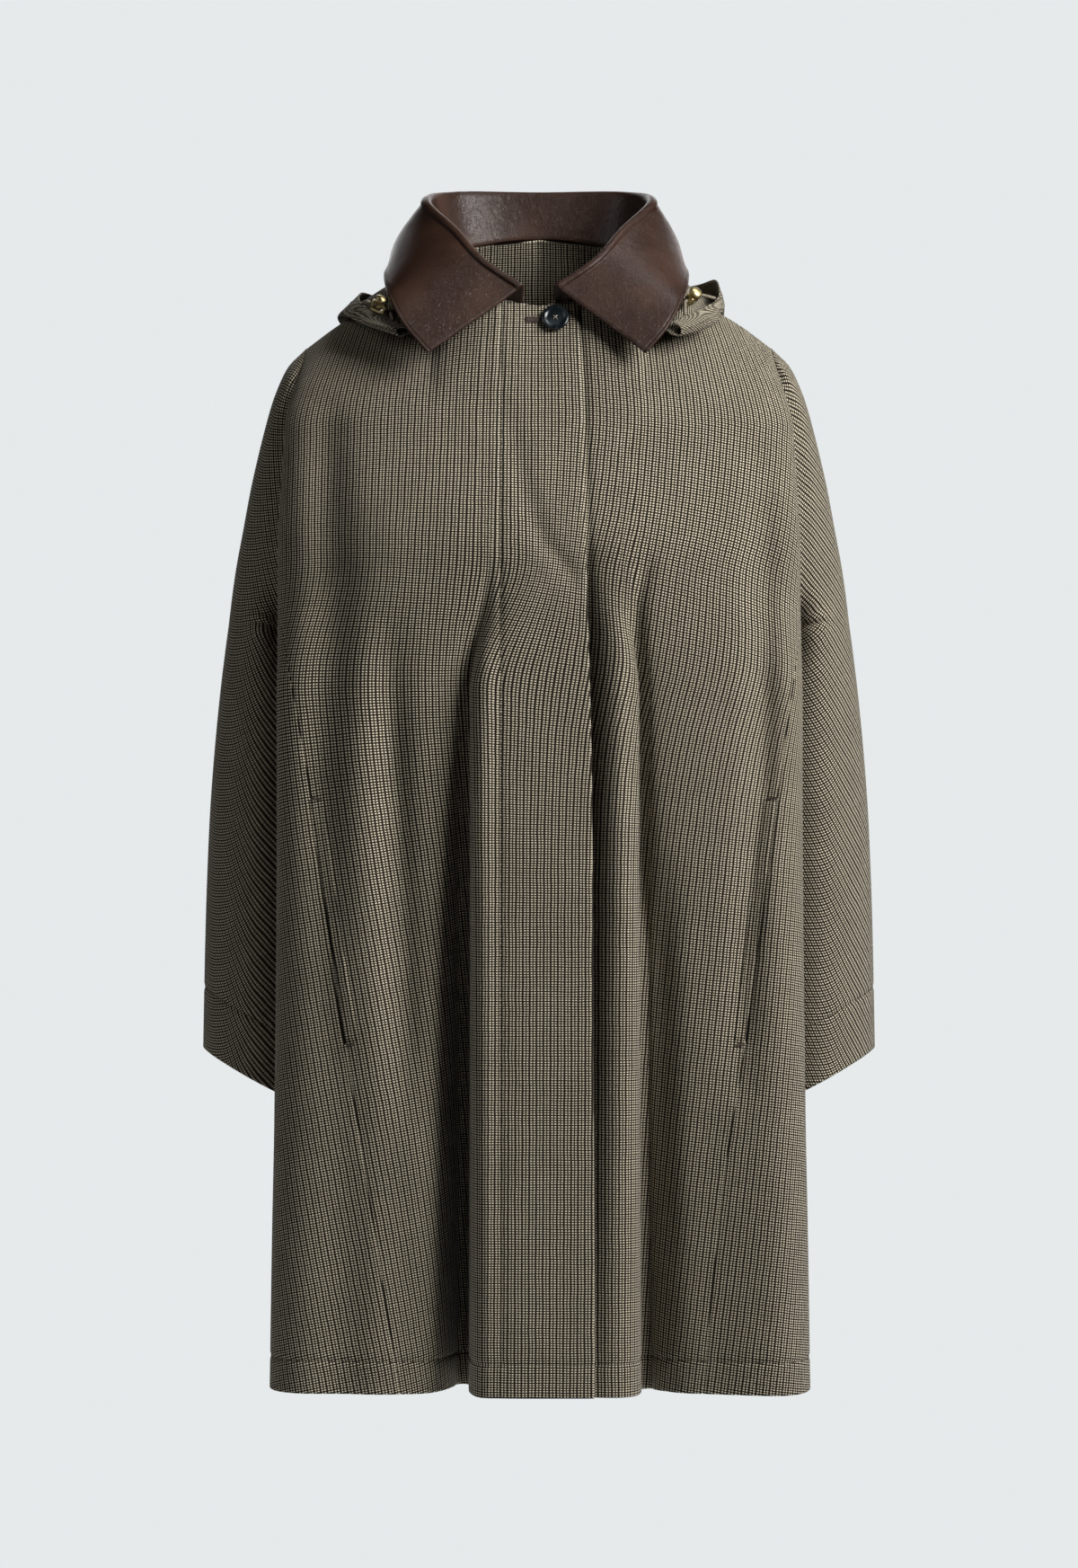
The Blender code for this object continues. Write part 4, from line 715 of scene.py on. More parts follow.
def hoodGrid(tree):
    curves = [through(line, hoodCut["columns"]) for line in hoodLines()]
    for j, point in enumerate(curves[0]):
        near, outward = nearestOutside(tree, point)
        curves[0][j] = near + outward * (clothWall + hoodCut["clear"])
    columns = []
    for neckAt, under, base, turn, rim in zip(*curves):
        openWay = unit(rim - base) * hoodCut["turn"]
        columns.append(through([neckAt, under, base, turn - openWay, turn + openWay, rim], hoodCut["rows"]))
    for column in columns:
        for i in range(1, len(column)):
            near, outward = nearestOutside(tree, column[i])
            column[i] += outward * max(0, clothWall + hoodCut["lie"] - np.dot(column[i] - near, outward))
    return np.array(columns).transpose(1, 0, 2)


# materials

def addNode(tree, kind, inputs=None, family="ShaderNode", **settings):
    made = tree.nodes.new(family + kind)
    for name, value in settings.items():
        setattr(made, name, value)
    for key, value in (inputs or {}).items():
        if isinstance(value, bpy.types.NodeSocket):
            tree.links.new(value, made.inputs[key])
        else:
            made.inputs[key].default_value = value
    return made


def calc(tree, operation, *values):
    made = addNode(tree, "Math", dict(enumerate(values)), operation=operation)
    return made.outputs[0]


def stepBetween(tree, value, low, high):       # smooth step from low to high
    made = addNode(tree, "MapRange", {"Value": value, "From Min": low, "From Max": high},
                   interpolation_type="SMOOTHSTEP")
    return made.outputs[0]


def blendColours(tree, share, first, second):
    made = addNode(tree, "Mix", {0: share, 6: first, 7: second}, data_type="RGBA")
    return made.outputs[2]


def feed(tree, inputs, values):
    for label, value in values.items():
        tree.links.new(value, inputs[label])


def newGroup(name, inputs, outputs):
    group = bpy.data.node_groups.new(name, "ShaderNodeTree")
    for label, kind, value in inputs:
        socket = group.interface.new_socket(label, in_out="INPUT", socket_type=kind)
        if value is not None:
            socket.default_value = value
    for label in outputs:
        group.interface.new_socket(label, in_out="OUTPUT", socket_type="NodeSocketFloat")
    return group, group.nodes.new("NodeGroupInput").outputs, group.nodes.new("NodeGroupOutput").inputs


weaveLook = {"wander": 45.0, "wanderBy": 0.0009, "thinner": (0.09, 0.05), "edge": (0.12, 0.42), "crossed": 0.88,
             "alone": 0.06, "mottle": 34.0}


def makeWeaveGroup():            # pale dots in blocks of two by two, a bolder dark line between the blocks
    tree, given, result = newGroup("dottedWeave", (
        ("Cut", "NodeSocketVector", None), ("Across", "NodeSocketFloat", 0.0028),
        ("Down", "NodeSocketFloat", 0.002), ("Unevenness", "NodeSocketFloat", 0.1)), ("Dot", "Mottle"))
    wander = addNode(tree, "TexNoise", {"Vector": given["Cut"], "Scale": weaveLook["wander"], "Detail": 1.0},
                     noise_dimensions="2D")
    pull = addNode(tree, "VectorMath", {0: wander.outputs["Color"], 1: (0.5, 0.5, 0.5)}, operation="SUBTRACT")
    pull = addNode(tree, "VectorMath", {0: pull.outputs[0], "Scale": weaveLook["wanderBy"]}, operation="SCALE")
    cut = addNode(tree, "VectorMath", {0: given["Cut"], 1: pull.outputs[0]}, operation="ADD")
    parts = addNode(tree, "SeparateXYZ", {0: cut.outputs[0]}).outputs
    threads = []
    for axis, repeat in enumerate(("Across", "Down")):
        count = calc(tree, "DIVIDE", parts[axis], given[repeat])
        second = calc(tree, "PINGPONG", calc(tree, "ROUND", count), 1.0)         # 1 at every second line
        away = calc(tree, "MULTIPLY_ADD", second, weaveLook["thinner"][axis], calc(tree, "PINGPONG", count, 0.5))
        threads.append((count, stepBetween(tree, away, *weaveLook["edge"])))
    (across, wide), (down, tall) = threads
    dot = calc(tree, "MULTIPLY", calc(tree, "ADD", wide, tall), weaveLook["alone"])
    dot = calc(tree, "MULTIPLY_ADD", calc(tree, "MULTIPLY", wide, tall), weaveLook["crossed"], dot)
    cell = addNode(tree, "CombineXYZ", {0: calc(tree, "FLOOR", across), 1: calc(tree, "FLOOR", down)})
    yarn = addNode(tree, "TexWhiteNoise", {"Vector": cell.outputs[0]}, noise_dimensions="2D").outputs["Value"]
    least = calc(tree, "SUBTRACT", 1.0, given["Unevenness"])
    dot = calc(tree, "MULTIPLY", dot, calc(tree, "MULTIPLY_ADD", yarn, given["Unevenness"], least))
    mottle = addNode(tree, "TexNoise", {"Vector": given["Cut"], "Scale": weaveLook["mottle"], "Detail": 3.0},
                     noise_dimensions="2D")
    feed(tree, result, {"Dot": dot, "Mottle": mottle.outputs["Fac"]})
    return tree


grainLook = {"valley": 0.12, "pebble": 0.5, "wrinkle": 1.6, "tone": 26.0, "scuff": (0.6, 0.74),
             "scratchTurn": (0.3, 0.5, 0.9), "scratchScale": (900, 60, 60)}


def makeGrainGroup():            # leather: small pebbles, fine wrinkles and a few long scratches
    tree, given, result = newGroup("leatherGrain", (
        ("Place", "NodeSocketVector", None), ("Pebbles", "NodeSocketFloat", 900.0),
        ("Wrinkles", "NodeSocketFloat", 220.0)), ("Height", "Tone", "Scuff"))
    place = given["Place"]
    pebble = addNode(tree, "TexVoronoi", {"Vector": place, "Scale": given["Pebbles"]}, feature="DISTANCE_TO_EDGE")
    valley = stepBetween(tree, pebble.outputs["Distance"], 0.0, grainLook["valley"])
    wrinkle = addNode(tree, "TexNoise", {"Vector": place, "Scale": given["Wrinkles"], "Detail": 5.0,
                                         "Distortion": 0.6})
    tone = addNode(tree, "TexNoise", {"Vector": place, "Scale": grainLook["tone"], "Detail": 4.0})
    turned = addNode(tree, "Mapping", {"Vector": place, "Rotation": grainLook["scratchTurn"],
                                       "Scale": grainLook["scratchScale"]})
    scratch = addNode(tree, "TexNoise", {"Vector": turned.outputs[0], "Scale": 1.0, "Detail": 2.0})
    height = calc(tree, "MULTIPLY_ADD", wrinkle.outputs["Fac"], grainLook["wrinkle"],
                  calc(tree, "MULTIPLY", valley, grainLook["pebble"]))
    feed(tree, result, {"Height": height, "Tone": tone.outputs["Fac"],
                        "Scuff": stepBetween(tree, scratch.outputs["Fac"], *grainLook["scuff"])})
    return tree


groups = {"weave": makeWeaveGroup(), "grain": makeGrainGroup()}


def newMaterial(name, constants):
    material = bpy.data.materials.new(name)
    material.use_nodes = True
    tree = material.node_tree
    shader = tree.nodes["Principled BSDF"]
    for label, value in constants.items():
        shader.inputs[label].default_value = value
    return material, tree, shader


def bumped(tree, shader, height, strength, distance):
    bump = addNode(tree, "Bump", {"Height": height, "Strength": strength, "Distance": distance})
    tree.links.new(bump.outputs[0], shader.inputs["Normal"])


clothLook = {"dark": (0.010, 0.0075, 0.005, 1), "middle": (0.15, 0.125, 0.085, 1), "pale": (0.74, 0.66, 0.50, 1),
             "stops": (0.06, 0.42, 0.92), "across": 0.00279, "down": 0.00198, "unevenness": 0.1,
             "mottled": (0.25, 0.75), "darker": 0.1, "sheen": 0.12, "sheenRough": 0.45, "specular": 0.12,
             "rough": 0.95, "dotRough": -0.12, "relief": (0.5, 0.0003)}


def makeCloth(name, look):
    material, tree, shader = newMaterial(name, {"Sheen Weight": look["sheen"], "Sheen Roughness": look["sheenRough"],
                                                "Specular IOR Level": look["specular"]})
    cut = addNode(tree, "UVMap", uv_map="cut").outputs[0]
    weave = addNode(tree, "Group", {"Cut": cut, "Across": look["across"], "Down": look["down"],
                                    "Unevenness": look["unevenness"]}, node_tree=groups["weave"]).outputs
    ramp = addNode(tree, "ValToRGB", {0: weave["Dot"]})
    stops = ramp.color_ramp.elements
    stops[0].color, stops[0].position = look["dark"], look["stops"][0]
    stops[1].color, stops[1].position = look["pale"], look["stops"][2]
    stops.new(look["stops"][1]).color = look["middle"]
    shade = stepBetween(tree, weave["Mottle"], *look["mottled"])
    shade = calc(tree, "MULTIPLY_ADD", shade, -look["darker"], look["darker"])
    feed(tree, shader.inputs, {
        "Base Color": blendColours(tree, shade, ramp.outputs[0], look["dark"]),
        "Roughness": calc(tree, "MULTIPLY_ADD", weave["Dot"], look["dotRough"], look["rough"])})
    bumped(tree, shader, weave["Dot"], *look["relief"])
    return material


leatherLook = {"base": (0.028, 0.0105, 0.0052, 1), "worn": (0.064, 0.028, 0.016, 1), "pebbles": 850.0,
               "wrinkles": 200.0, "toned": (0.4, 0.7), "wornTone": 0.55, "wornScuff": 0.3, "specular": 0.34,
               "rough": 0.25, "toneRough": 0.2, "relief": (0.55, 0.0006)}


def makeLeather(name, look):
    material, tree, shader = newMaterial(name, {"Specular IOR Level": look["specular"]})
    place = addNode(tree, "TexCoord").outputs["Object"]
    grain = addNode(tree, "Group", {"Place": place, "Pebbles": look["pebbles"], "Wrinkles": look["wrinkles"]},
                    node_tree=groups["grain"]).outputs
    toned = calc(tree, "MULTIPLY", stepBetween(tree, grain["Tone"], *look["toned"]), look["wornTone"])
    share = calc(tree, "ADD", toned, calc(tree, "MULTIPLY", grain["Scuff"], look["wornScuff"]))
    feed(tree, shader.inputs, {
        "Base Color": blendColours(tree, share, look["base"], look["worn"]),
        "Roughness": calc(tree, "MULTIPLY_ADD", grain["Tone"], look["toneRough"], look["rough"])})
    bumped(tree, shader, grain["Height"], *look["relief"])
    return material


smallLooks = {   # two colours, how coarse they vary, roughness, metal, relief
    "horn":    ((0.004, 0.006, 0.008, 1), (0.016, 0.022, 0.026, 1), 160.0, 0.24, 0.0, 0.00003),
    "brass":   ((0.46, 0.36, 0.16, 1), (0.68, 0.56, 0.30, 1), 420.0, 0.34, 1.0, 0.00004),
    "cord":    ((0.10, 0.085, 0.06, 1), (0.30, 0.26, 0.19, 1), 1500.0, 0.85, 0.0, 0.0001),
    "binding": ((0.022, 0.012, 0.008, 1), (0.05, 0.03, 0.02, 1), 700.0, 0.6, 0.0, 0.0001),
    "thread":  ((0.012, 0.008, 0.005, 1), (0.03, 0.021, 0.013, 1), 900.0, 0.7, 0.0, 0.00004),
    "sewing":  ((0.20, 0.18, 0.15, 1), (0.36, 0.33, 0.28, 1), 1200.0, 0.6, 0.0, 0.00004),
}
smallVary = {"streak": (1.0, 1.0, 0.3), "between": (0.35, 0.65), "rougher": 0.14, "smoother": 0.05, "bump": 0.4}


def makeSmall(name, look):
    dark, light, scale, rough, metal, relief = look
    material, tree, shader = newMaterial(name, {"Metallic": metal})
    place = addNode(tree, "TexCoord").outputs["Object"]
    streaks = addNode(tree, "Mapping", {"Vector": place, "Scale": smallVary["streak"]}).outputs[0]
    varied = addNode(tree, "TexNoise", {"Vector": streaks, "Scale": scale, "Detail": 3.0, "Distortion": 0.4})
    share = stepBetween(tree, varied.outputs["Fac"], *smallVary["between"])
    feed(tree, shader.inputs, {
        "Base Color": blendColours(tree, share, dark, light),
        "Roughness": calc(tree, "MULTIPLY_ADD", share, smallVary["rougher"], rough - smallVary["smoother"])})
    bumped(tree, shader, varied.outputs["Fac"], smallVary["bump"], relief)
    return material


materials = {"cloth": makeCloth("dottedWool", clothLook), "leather": makeLeather("brownLeather", leatherLook)}
for name, look in smallLooks.items():
    materials[name] = makeSmall(name, look)
print("materials made")


# camera, light and floor

stage = {"eye": (0, -4.5, -0.412), "lens": 124.45, "sensor": 36, "near": 0.1, "far": 50,
         "backdrop": (0.79, 0.82, 0.83, 1), "ambient": (0.83, 0.86, 0.88, 1), "ambientStrength": 0.012,
         "keySpread": 100, "floorZ": -1.45, "floorRadius": 1.8, "floorCorners": 96, "floorRough": 0.8,
         "floorColours": ((0.76, 0.78, 0.79, 1), (0.8, 0.82, 0.83, 1)), "floorSpeck": 4.0}
lamps = {   # place, aim, width and height, watts
    "key":  ((2.05, -1.6, 1.15), (-0.9, 0, -0.6), (1.6, 1.6), 47),
    "fill": ((-2.8, -1.0, 1.3), (0, 0, -0.3), (1.6, 1.6), 15),
    "top":  ((1.0, -0.2, 2.2), (0.08, -0.08, 0.02), (0.8, 0.8), 14),
    "rear": ((0.0, 3.6, 0.8), (0, 0, -0.4), (2.6, 2.6), 70),
}


def addCamera():
    camera = bpy.data.cameras.new("camera")
    camera.lens, camera.sensor_width = stage["lens"], stage["sensor"]
    camera.clip_start, camera.clip_end = stage["near"], stage["far"]
    eye = linked("camera", camera)
    eye.location, eye.rotation_euler = stage["eye"], (math.pi / 2, 0, 0)
    bpy.context.scene.camera = eye


def addLamp(name, place, aim, size, watts):
    light = bpy.data.lights.new(name, "AREA")
    light.shape, light.size, light.size_y, light.energy = "RECTANGLE", size[0], size[1], watts
    if name == "key":
        light.spread = math.radians(stage["keySpread"])
    lamp = linked(name, light)
    lamp.location = place
    lamp.rotation_euler = (Vector(aim) - Vector(place)).to_track_quat("-Z", "Y").to_euler()


def addWorld():                  # a pale backdrop to look at, a weak light all round
    world = bpy.data.worlds.new("studio")
    world.use_nodes = True
    tree = world.node_tree
    shown = tree.nodes["Background"]
    shown.inputs[0].default_value, shown.inputs[1].default_value = stage["backdrop"], 1.0
    around = addNode(tree, "Background", {0: stage["ambient"], 1: stage["ambientStrength"]})
    ray = addNode(tree, "LightPath").outputs["Is Camera Ray"]
    mixed = addNode(tree, "MixShader", {0: ray, 1: around.outputs[0], 2: shown.outputs[0]})
    tree.links.new(mixed.outputs[0], tree.nodes["World Output"].inputs[0])
    bpy.context.scene.world = world


def addFloor():
    material, tree, shader = newMaterial("paleFloor", {"Roughness": stage["floorRough"]})
    place = addNode(tree, "TexCoord").outputs["Object"]
    speck = addNode(tree, "TexNoise", {"Vector": place, "Scale": stage["floorSpeck"]}).outputs["Fac"]
    feed(tree, shader.inputs, {"Base Color": blendColours(tree, speck, *stage["floorColours"])})
    corners, radius = stage["floorCorners"], stage["floorRadius"]
    angle = np.linspace(0, 2 * math.pi, corners + 1)[:-1]
    disc = [(radius * math.cos(a), radius * math.sin(a), stage["floorZ"]) for a in angle]
    mesh = newMesh("floor", disc, [list(range(corners))])
    mesh.materials.append(material)
    linked("floor", mesh)


bpy.context.scene.view_settings.view_transform = "Standard"
addCamera()
for name, lamp in lamps.items():
    addLamp(name, *lamp)
addWorld()
addFloor()
print("stage set")


# the sewn pieces

# turned hems with the depth and width of their groove, pocket openings, and the collar's inset, depth and width
sewing = {"hem": 26, "cuff": 50, "groove": (1.1, 1.9), "slit": 0.6, "tuck": 2.6, "collar": (2.1, 0.55, 0.6)}
seamTrim = clothWall * rimRound - 0.1


def outerFace(name):
    side = -1 if name.endswith("right") else 1
    if name == "collar":         # the fall's face
        fall = sum(collarCut["fallRows"])
        seen = outwardOf(grids[name][-fall:], (0, 0))
        facing = normals(grids[name])
        return facing if (facing[-fall:] * seen).sum() > 0 else -facing
    x, y = sleeveCut["centre"] if name.startswith("sleeve") else (0, 0)
    return outwardOf(grids[name], (x * side, y))


def grooved(name, up, deep, wide):             # shallow groove where an edge is sewn down
    depth = deep * np.exp(-((fromEnd(grids[name]) - up) / wide)**2)
    return grids[name] - outerFace(name) * depth[:, :, None]


def atPocket(border):            # 1 along the pocket's opening, 0 above and below it
    z, soft = border[:, 2], pocketSeam["softEnd"]
    return (ease((pocketSeam["openFrom"] - z) / soft) * ease((z - pocketSeam["openTo"]) / soft))[:, None]


grids, cuts = {}, {}
for side, way in (("right", 1), ("left", -1)):
    grids["front_" + side], cuts["front_" + side] = frontGrid(side)
    grids["side_panel_" + side], cuts["side_panel_" + side] = sideGrid(side)
    grids["sleeve_" + side] = sleeveGrid(side)
    cuts["sleeve_" + side] = hangingCut(grids["sleeve_" + side], sleeveCut["grain"] * way)
grids["back"], cuts["back"] = backGrid()
grids["collar"] = collarGrid()
grids["hood"] = hoodGrid(faceTree(grids["front_right"], grids["front_left"], grids["back"]))
for name in ("collar", "hood"):
    cuts[name] = unrolled(grids[name], grids[name].shape[1] // 2)
grids["collar"] = grooved("collar", *sewing["collar"])
for name in grids:
    if name not in ("collar", "hood"):
        grids[name] = grooved(name, sewing["cuff" if name.startswith("sleeve") else "hem"], *sewing["groove"])
for name, grid in grids.items():
    if name.startswith("front"):
        grid = trimmed(grid, last=seamTrim + sewing["slit"] * atPocket(grid[:, -1]), top=seamTrim)
    elif name.startswith("side_panel"):        # its edge runs on under the front at the pocket
        tucked = atPocket(grid[:, 0]) * sewing["tuck"]
        grid = trimmed(grid, first=seamTrim - tucked, last=seamTrim)
        grid[:, 0] -= outerFace(name)[:, 0] * tucked
    elif name == "back":
        grid = trimmed(grid, first=seamTrim, last=seamTrim, top=seamTrim)
    stuff, wall = ("leather", leatherWall) if name == "collar" else ("cloth", clothWall)
    mesh = shellMesh(name + "Cut", grid, cuts[name], wall)
    addPiece(name + "Cut", mesh, stuff, name)
    print(name, len(mesh.polygons), "faces")


# small parts on the cloth

def smoothPiece(mesh, sharpFrom=35):
    mesh.shade_smooth()
    mesh.set_sharp_from_angle(angle=math.radians(sharpFrom))
    return mesh


def fromBmesh(name, made, place):
    made.transform(place)
    mesh = bpy.data.meshes.new(name)
    made.to_mesh(mesh)
    made.free()
    return mesh


def lathe(name, profile, steps, place):        # radius and height from the top down, both ends on the axis
    made = bmesh.new()
    angles = np.linspace(0, 2 * math.pi, steps + 1)[:-1]
    rings = []
    for radius, height in profile:
        if radius == 0:
            rings.append([made.verts.new((0, 0, height * mm))] * steps)
        else:
            rings.append([made.verts.new((radius * math.cos(a) * mm, radius * math.sin(a) * mm, height * mm))
                          for a in angles])
    for upper, lower in zip(rings, rings[1:]):
        for k in range(steps):
            corners = [upper[k], lower[k], lower[(k + 1) % steps], upper[(k + 1) % steps]]
            made.faces.new(list(dict.fromkeys(corners)))
    bmesh.ops.recalc_face_normals(made, faces=made.faces)
    return fromBmesh(name, made, place)


def tube(name, line, radius, sides, braid, pitch):       # round cord along a line, closed at both ends
    line = np.asarray(line, float)
    along = unit(np.gradient(line, axis=0))
    first = unit(np.cross(along, (0.3, 0.2, 0.93)))      # square to the cord and to a way that no cord runs
    second = np.cross(along, first)
    angle = np.linspace(0, 2 * math.pi, sides + 1)[:-1]
    run = lengths(line)[:, None] * 2 * math.pi / pitch
    strands = np.abs(np.sin(2 * angle + run)) + np.abs(np.sin(2 * angle - run)) - 1.2
    steps = np.arange(len(line))
    ends = np.minimum(1, np.minimum(steps, steps[::-1]) / 2 + 0.5)[:, None]
    size = radius * (1 + braid * strands) * ends
    rings = (line[:, None] + first[:, None] * (np.cos(angle) * size)[:, :, None]
             + second[:, None] * (np.sin(angle) * size)[:, :, None])
    points = np.concatenate((rings.reshape(-1, 3), line[:1], line[-1:])) * mm
    count = len(line) * sides
    faces = []
    for i in range(len(line) - 1):
        for k in range(sides):
            a, b = i * sides + k, i * sides + (k + 1) % sides
            faces.append((a, b, b + sides, a + sides))
    for k in range(sides):
        after = (k + 1) % sides
        faces += [(count, after, k), (count + 1, count - sides + k, count - sides + after)]
    mesh = newMesh(name, points.tolist(), faces)
    mesh.shade_smooth()
    return mesh


def plainMesh(piece):            # what a piece's modifiers make of it, as a mesh of its own
    bpy.context.view_layer.update()
    made = bpy.data.meshes.new_from_object(piece.evaluated_get(bpy.context.evaluated_depsgraph_get()))
    piece.modifiers.clear()
    return made


def cutOut(mesh, tools):
    piece = linked("uncut", mesh)
    cutters = [linked("cutter", tool) for tool in tools]
    for cutter in cutters:
        cutting = piece.modifiers.new("cut", "BOOLEAN")
        cutting.operation, cutting.solver, cutting.object = "DIFFERENCE", "EXACT", cutter
    made = plainMesh(piece)
    for used in cutters + [piece]:
        bpy.data.objects.remove(used)
    return made


faceOf = {side: faceTree(grids["front_" + side]) for side in ("right", "left")}


def frontFace(side, x, z):       # point on a front's face and the way it looks
    point, normal = faceOf[side].ray_cast(Vector((x, -400, z)), Vector((0, 1, 0)))[:2]
    return np.array(point), np.array(normal if normal.y < 0 else -normal)


button = {"at": (13.4, -33.6), "size": 22.6, "thick": 3.4, "lift": 2.35, "holes": 4.6, "hole": 1.9, "drill": 8,
          "radius": (0, 0.3, 0.55, 0.64, 0.72, 0.80, 0.88, 0.95, 0.99, 1, 0.98, 0.92, 0.8, 0),
          "height": (0.6, 0.6, 0.64, 0.72, 0.90, 0.98, 1, 0.92, 0.72, 0.5, 0.25, 0.06, 0, 0),
          "steps": 64, "holeSteps": 16, "sharp": 40, "threadFrom": 0.62, "threadOver": 0.35, "threadSteps": 21,
          "thread": (0.42, 10, 0.08, 1.6),       # radius, sides, twist and its pitch
          "archAcross": (1.02, 0.86, 0, -0.86, -1.02), "archUp": (-1.4, 0.1, 0.6, 0.1, -1.4)}


def addButton():
    point, facing = frontFace("right", *button["at"])
    place = (Matrix.Translation(Vector(point + facing * button["lift"]) * mm)
             @ Vector((0, 0, 1)).rotation_difference(Vector(facing)).to_matrix().to_4x4())
    profile = [(r * button["size"] / 2, h * button["thick"]) for r, h in zip(button["radius"], button["height"])]
    hole, deep = button["hole"] / 2, button["drill"]
    drills, corners = [], []
    for k in range(4):
        angle = math.pi / 4 + k * math.pi / 2
        corners.append(np.array([math.cos(angle), math.sin(angle), 0]) * button["holes"] / 2)
        drills.append(lathe("drill", [(0, deep), (hole, deep), (hole, -deep), (0, -deep)], button["holeSteps"],
                            place @ Matrix.Translation(Vector(corners[-1]) * mm)))
    mesh = cutOut(lathe("buttonBody", profile, button["steps"], place), drills)
    addPiece("buttonTurned", smoothPiece(mesh, button["sharp"]), "horn", "button")
    for k in range(2):           # two threads, crossed over the holes
        arch = corners[k] * np.array(button["archAcross"])[:, None]
        top = button["thick"] * button["threadFrom"] + button["threadOver"] * k
        arch[:, 2] = np.array(button["archUp"]) + top
        line = [np.array(place @ Vector(knot * mm)) / mm for knot in through(arch, button["threadSteps"])]
        addPiece("buttonThread" + str(k + 1), tube("buttonThread", line, *button["thread"]), "sewing")


buttonhole = {"reach": 24, "wide": 4.2, "lift": 1.3, "thick": 1.0, "columns": 40, "rows": 15,
              "swell": 0.5, "slit": 0.35, "slitWide": 0.09}


def addButtonhole():             # brown bound strip, rounded over its width, with its slit along the middle
    rows = []
    for across in np.linspace(-0.5, 0.5, buttonhole["rows"]):
        slit = buttonhole["slit"] * math.exp(-(across / buttonhole["slitWide"])**2)
        out = buttonhole["lift"] + buttonhole["swell"] * (1 - (2 * across)**2) - slit
        row = []
        for share in np.linspace(0, 1, buttonhole["columns"]):
            x = button["at"][0] - buttonhole["reach"] * (1 - share)
            point, facing = frontFace("right", x, button["at"][1] - across * buttonhole["wide"])
            row.append(point + facing * out)
        rows.append(row)
    grid = np.array(rows)
    mesh = shellMesh("buttonholeBinding", grid, unrolled(grid), buttonhole["thick"])
    addPiece("buttonholeBinding", mesh, "binding", "buttonhole")


welt = {"from": 0.8, "wide": 9, "lift": 1.25, "thick": 0.7, "columns": 9, "panelColumns": 11}


def addWelt(side):               # narrow strip beside the pocket seam, from the front's own points moved out
    panel, cut = grids["front_" + side], cuts["front_" + side]
    outward = normals(panel)
    outward = np.where(outward[:, :, 1:2] < 0, outward, -outward) * welt["lift"]
    reach = welt["from"] + np.linspace(0, welt["wide"], welt["columns"])
    near = slice(None, -welt["panelColumns"] - 1, -1)
    rows, uv = [], []
    for i in range(len(panel)):
        if pocketSeam["openTo"] <= panel[i, -1, 2] <= pocketSeam["openFrom"]:
            length = lengths(panel[i, near])
            rows.append(readAt(reach, length, panel[i, near] + outward[i, near]))
            uv.append(readAt(reach, length, cut[i, near]))
    mesh = shellMesh("weltStrip", np.array(rows), np.array(uv), welt["thick"])
    return addPiece("pocketWelt_" + side, mesh, "cloth", "pocket_welt_" + side)


locks = {
    "left":  {"at": (125, -70, -15), "point": (0.45, -0.65, 0.61), "cord": (0.57, 0.73, 0.36)},
    "right": {"at": (-131, -70, -22), "point": (0.40, -0.35, 0.85), "cord": (-0.88, 0.0, 0.47)},
    "size": (13, 7.5, 8.5), "rounding": 1.4, "window": (8, 20, 3.6), "windowRound": 1.7,
    "bore": 4.8, "boreTop": 9, "floor": 1.4, "cap": (11, 3.4), "capEdge": ((0.15, 0.1), (0.5, 0)), "dome": 0.7,
    "stem": 4, "travel": 1.8, "clear": 0.3, "segments": (6, 5), "steps": (40, 12, 56),
}


def lockFrame(side):             # X along the cord, Y through the window, Z the way the plunger points
    up = Vector(locks[side]["point"]).normalized()
    along = Vector(locks[side]["cord"])
    along = (along - up * along.dot(up)).normalized()
    turn = Matrix((along, up.cross(along), up)).transposed().to_4x4()
    return Matrix.Translation(Vector(locks[side]["at"]) * mm) @ turn


def roundedBlock(name, size, rounding, segments, place, onlyAlong=None):
    made = bmesh.new()
    bmesh.ops.create_cube(made, size=1, matrix=Matrix.Diagonal([part * mm for part in size]).to_4x4())
    edges = [edge for edge in made.edges if onlyAlong is None
             or abs(edge.verts[0].co[onlyAlong] - edge.verts[1].co[onlyAlong]) > 1e-6]
    bmesh.ops.bevel(made, geom=edges, offset=rounding * mm, segments=segments, profile=0.5, affect="EDGES")
    return fromBmesh(name, made, place)


def addLock(side):
    place, half = lockFrame(side), locks["size"][2] / 2
    floor, bore, stem = locks["floor"] - half, locks["bore"] / 2, locks["stem"] / 2
    hole = [(0, locks["boreTop"]), (bore, locks["boreTop"]), (bore, floor), (0, floor)]
    window = roundedBlock("window", locks["window"], locks["windowRound"], locks["segments"][0], place, 1)
    body = roundedBlock("lockBody", locks["size"], locks["rounding"], locks["segments"][1], place)
    boreSteps, domeSteps, capSteps = locks["steps"]
    mesh = cutOut(body, [window, lathe("bore", hole, boreSteps, place)])
    addPiece("lockHousing_" + side, smoothPiece(mesh), "brass", "cord_lock_" + side)
    raised = locks["travel"] + locks["clear"]  # room for the press
    under, lowest = half + raised, floor + raised
    cap, height, dome = locks["cap"][0] / 2, locks["cap"][1], locks["dome"]
    profile = [(cap * math.sin(a), under + height * (1 - dome + dome * math.cos(a)))
               for a in np.linspace(0, math.pi / 2, domeSteps)]
    profile[0] = (0, under + height)
    profile += [(cap - drawn, under + up) for drawn, up in locks["capEdge"]]
    profile += [(stem, under), (stem, lowest), (0, lowest)]
    mesh = lathe("plunger", profile, capSteps, place)
    addPiece("plungerCap_" + side, smoothPiece(mesh), "brass", "plunger_" + side, "plunger_" + side)


drawcord = {"size": 2.6, "clear": 0.6, "straight": 2.6, "over": np.array([0, -0.35, 1]), "end": 1.5,
            "lowRim": 0.45, "highRim": 1.85, "steps": 60, "braid": (24, 0.1, 5.0)}       # braid: sides, relief, pitch


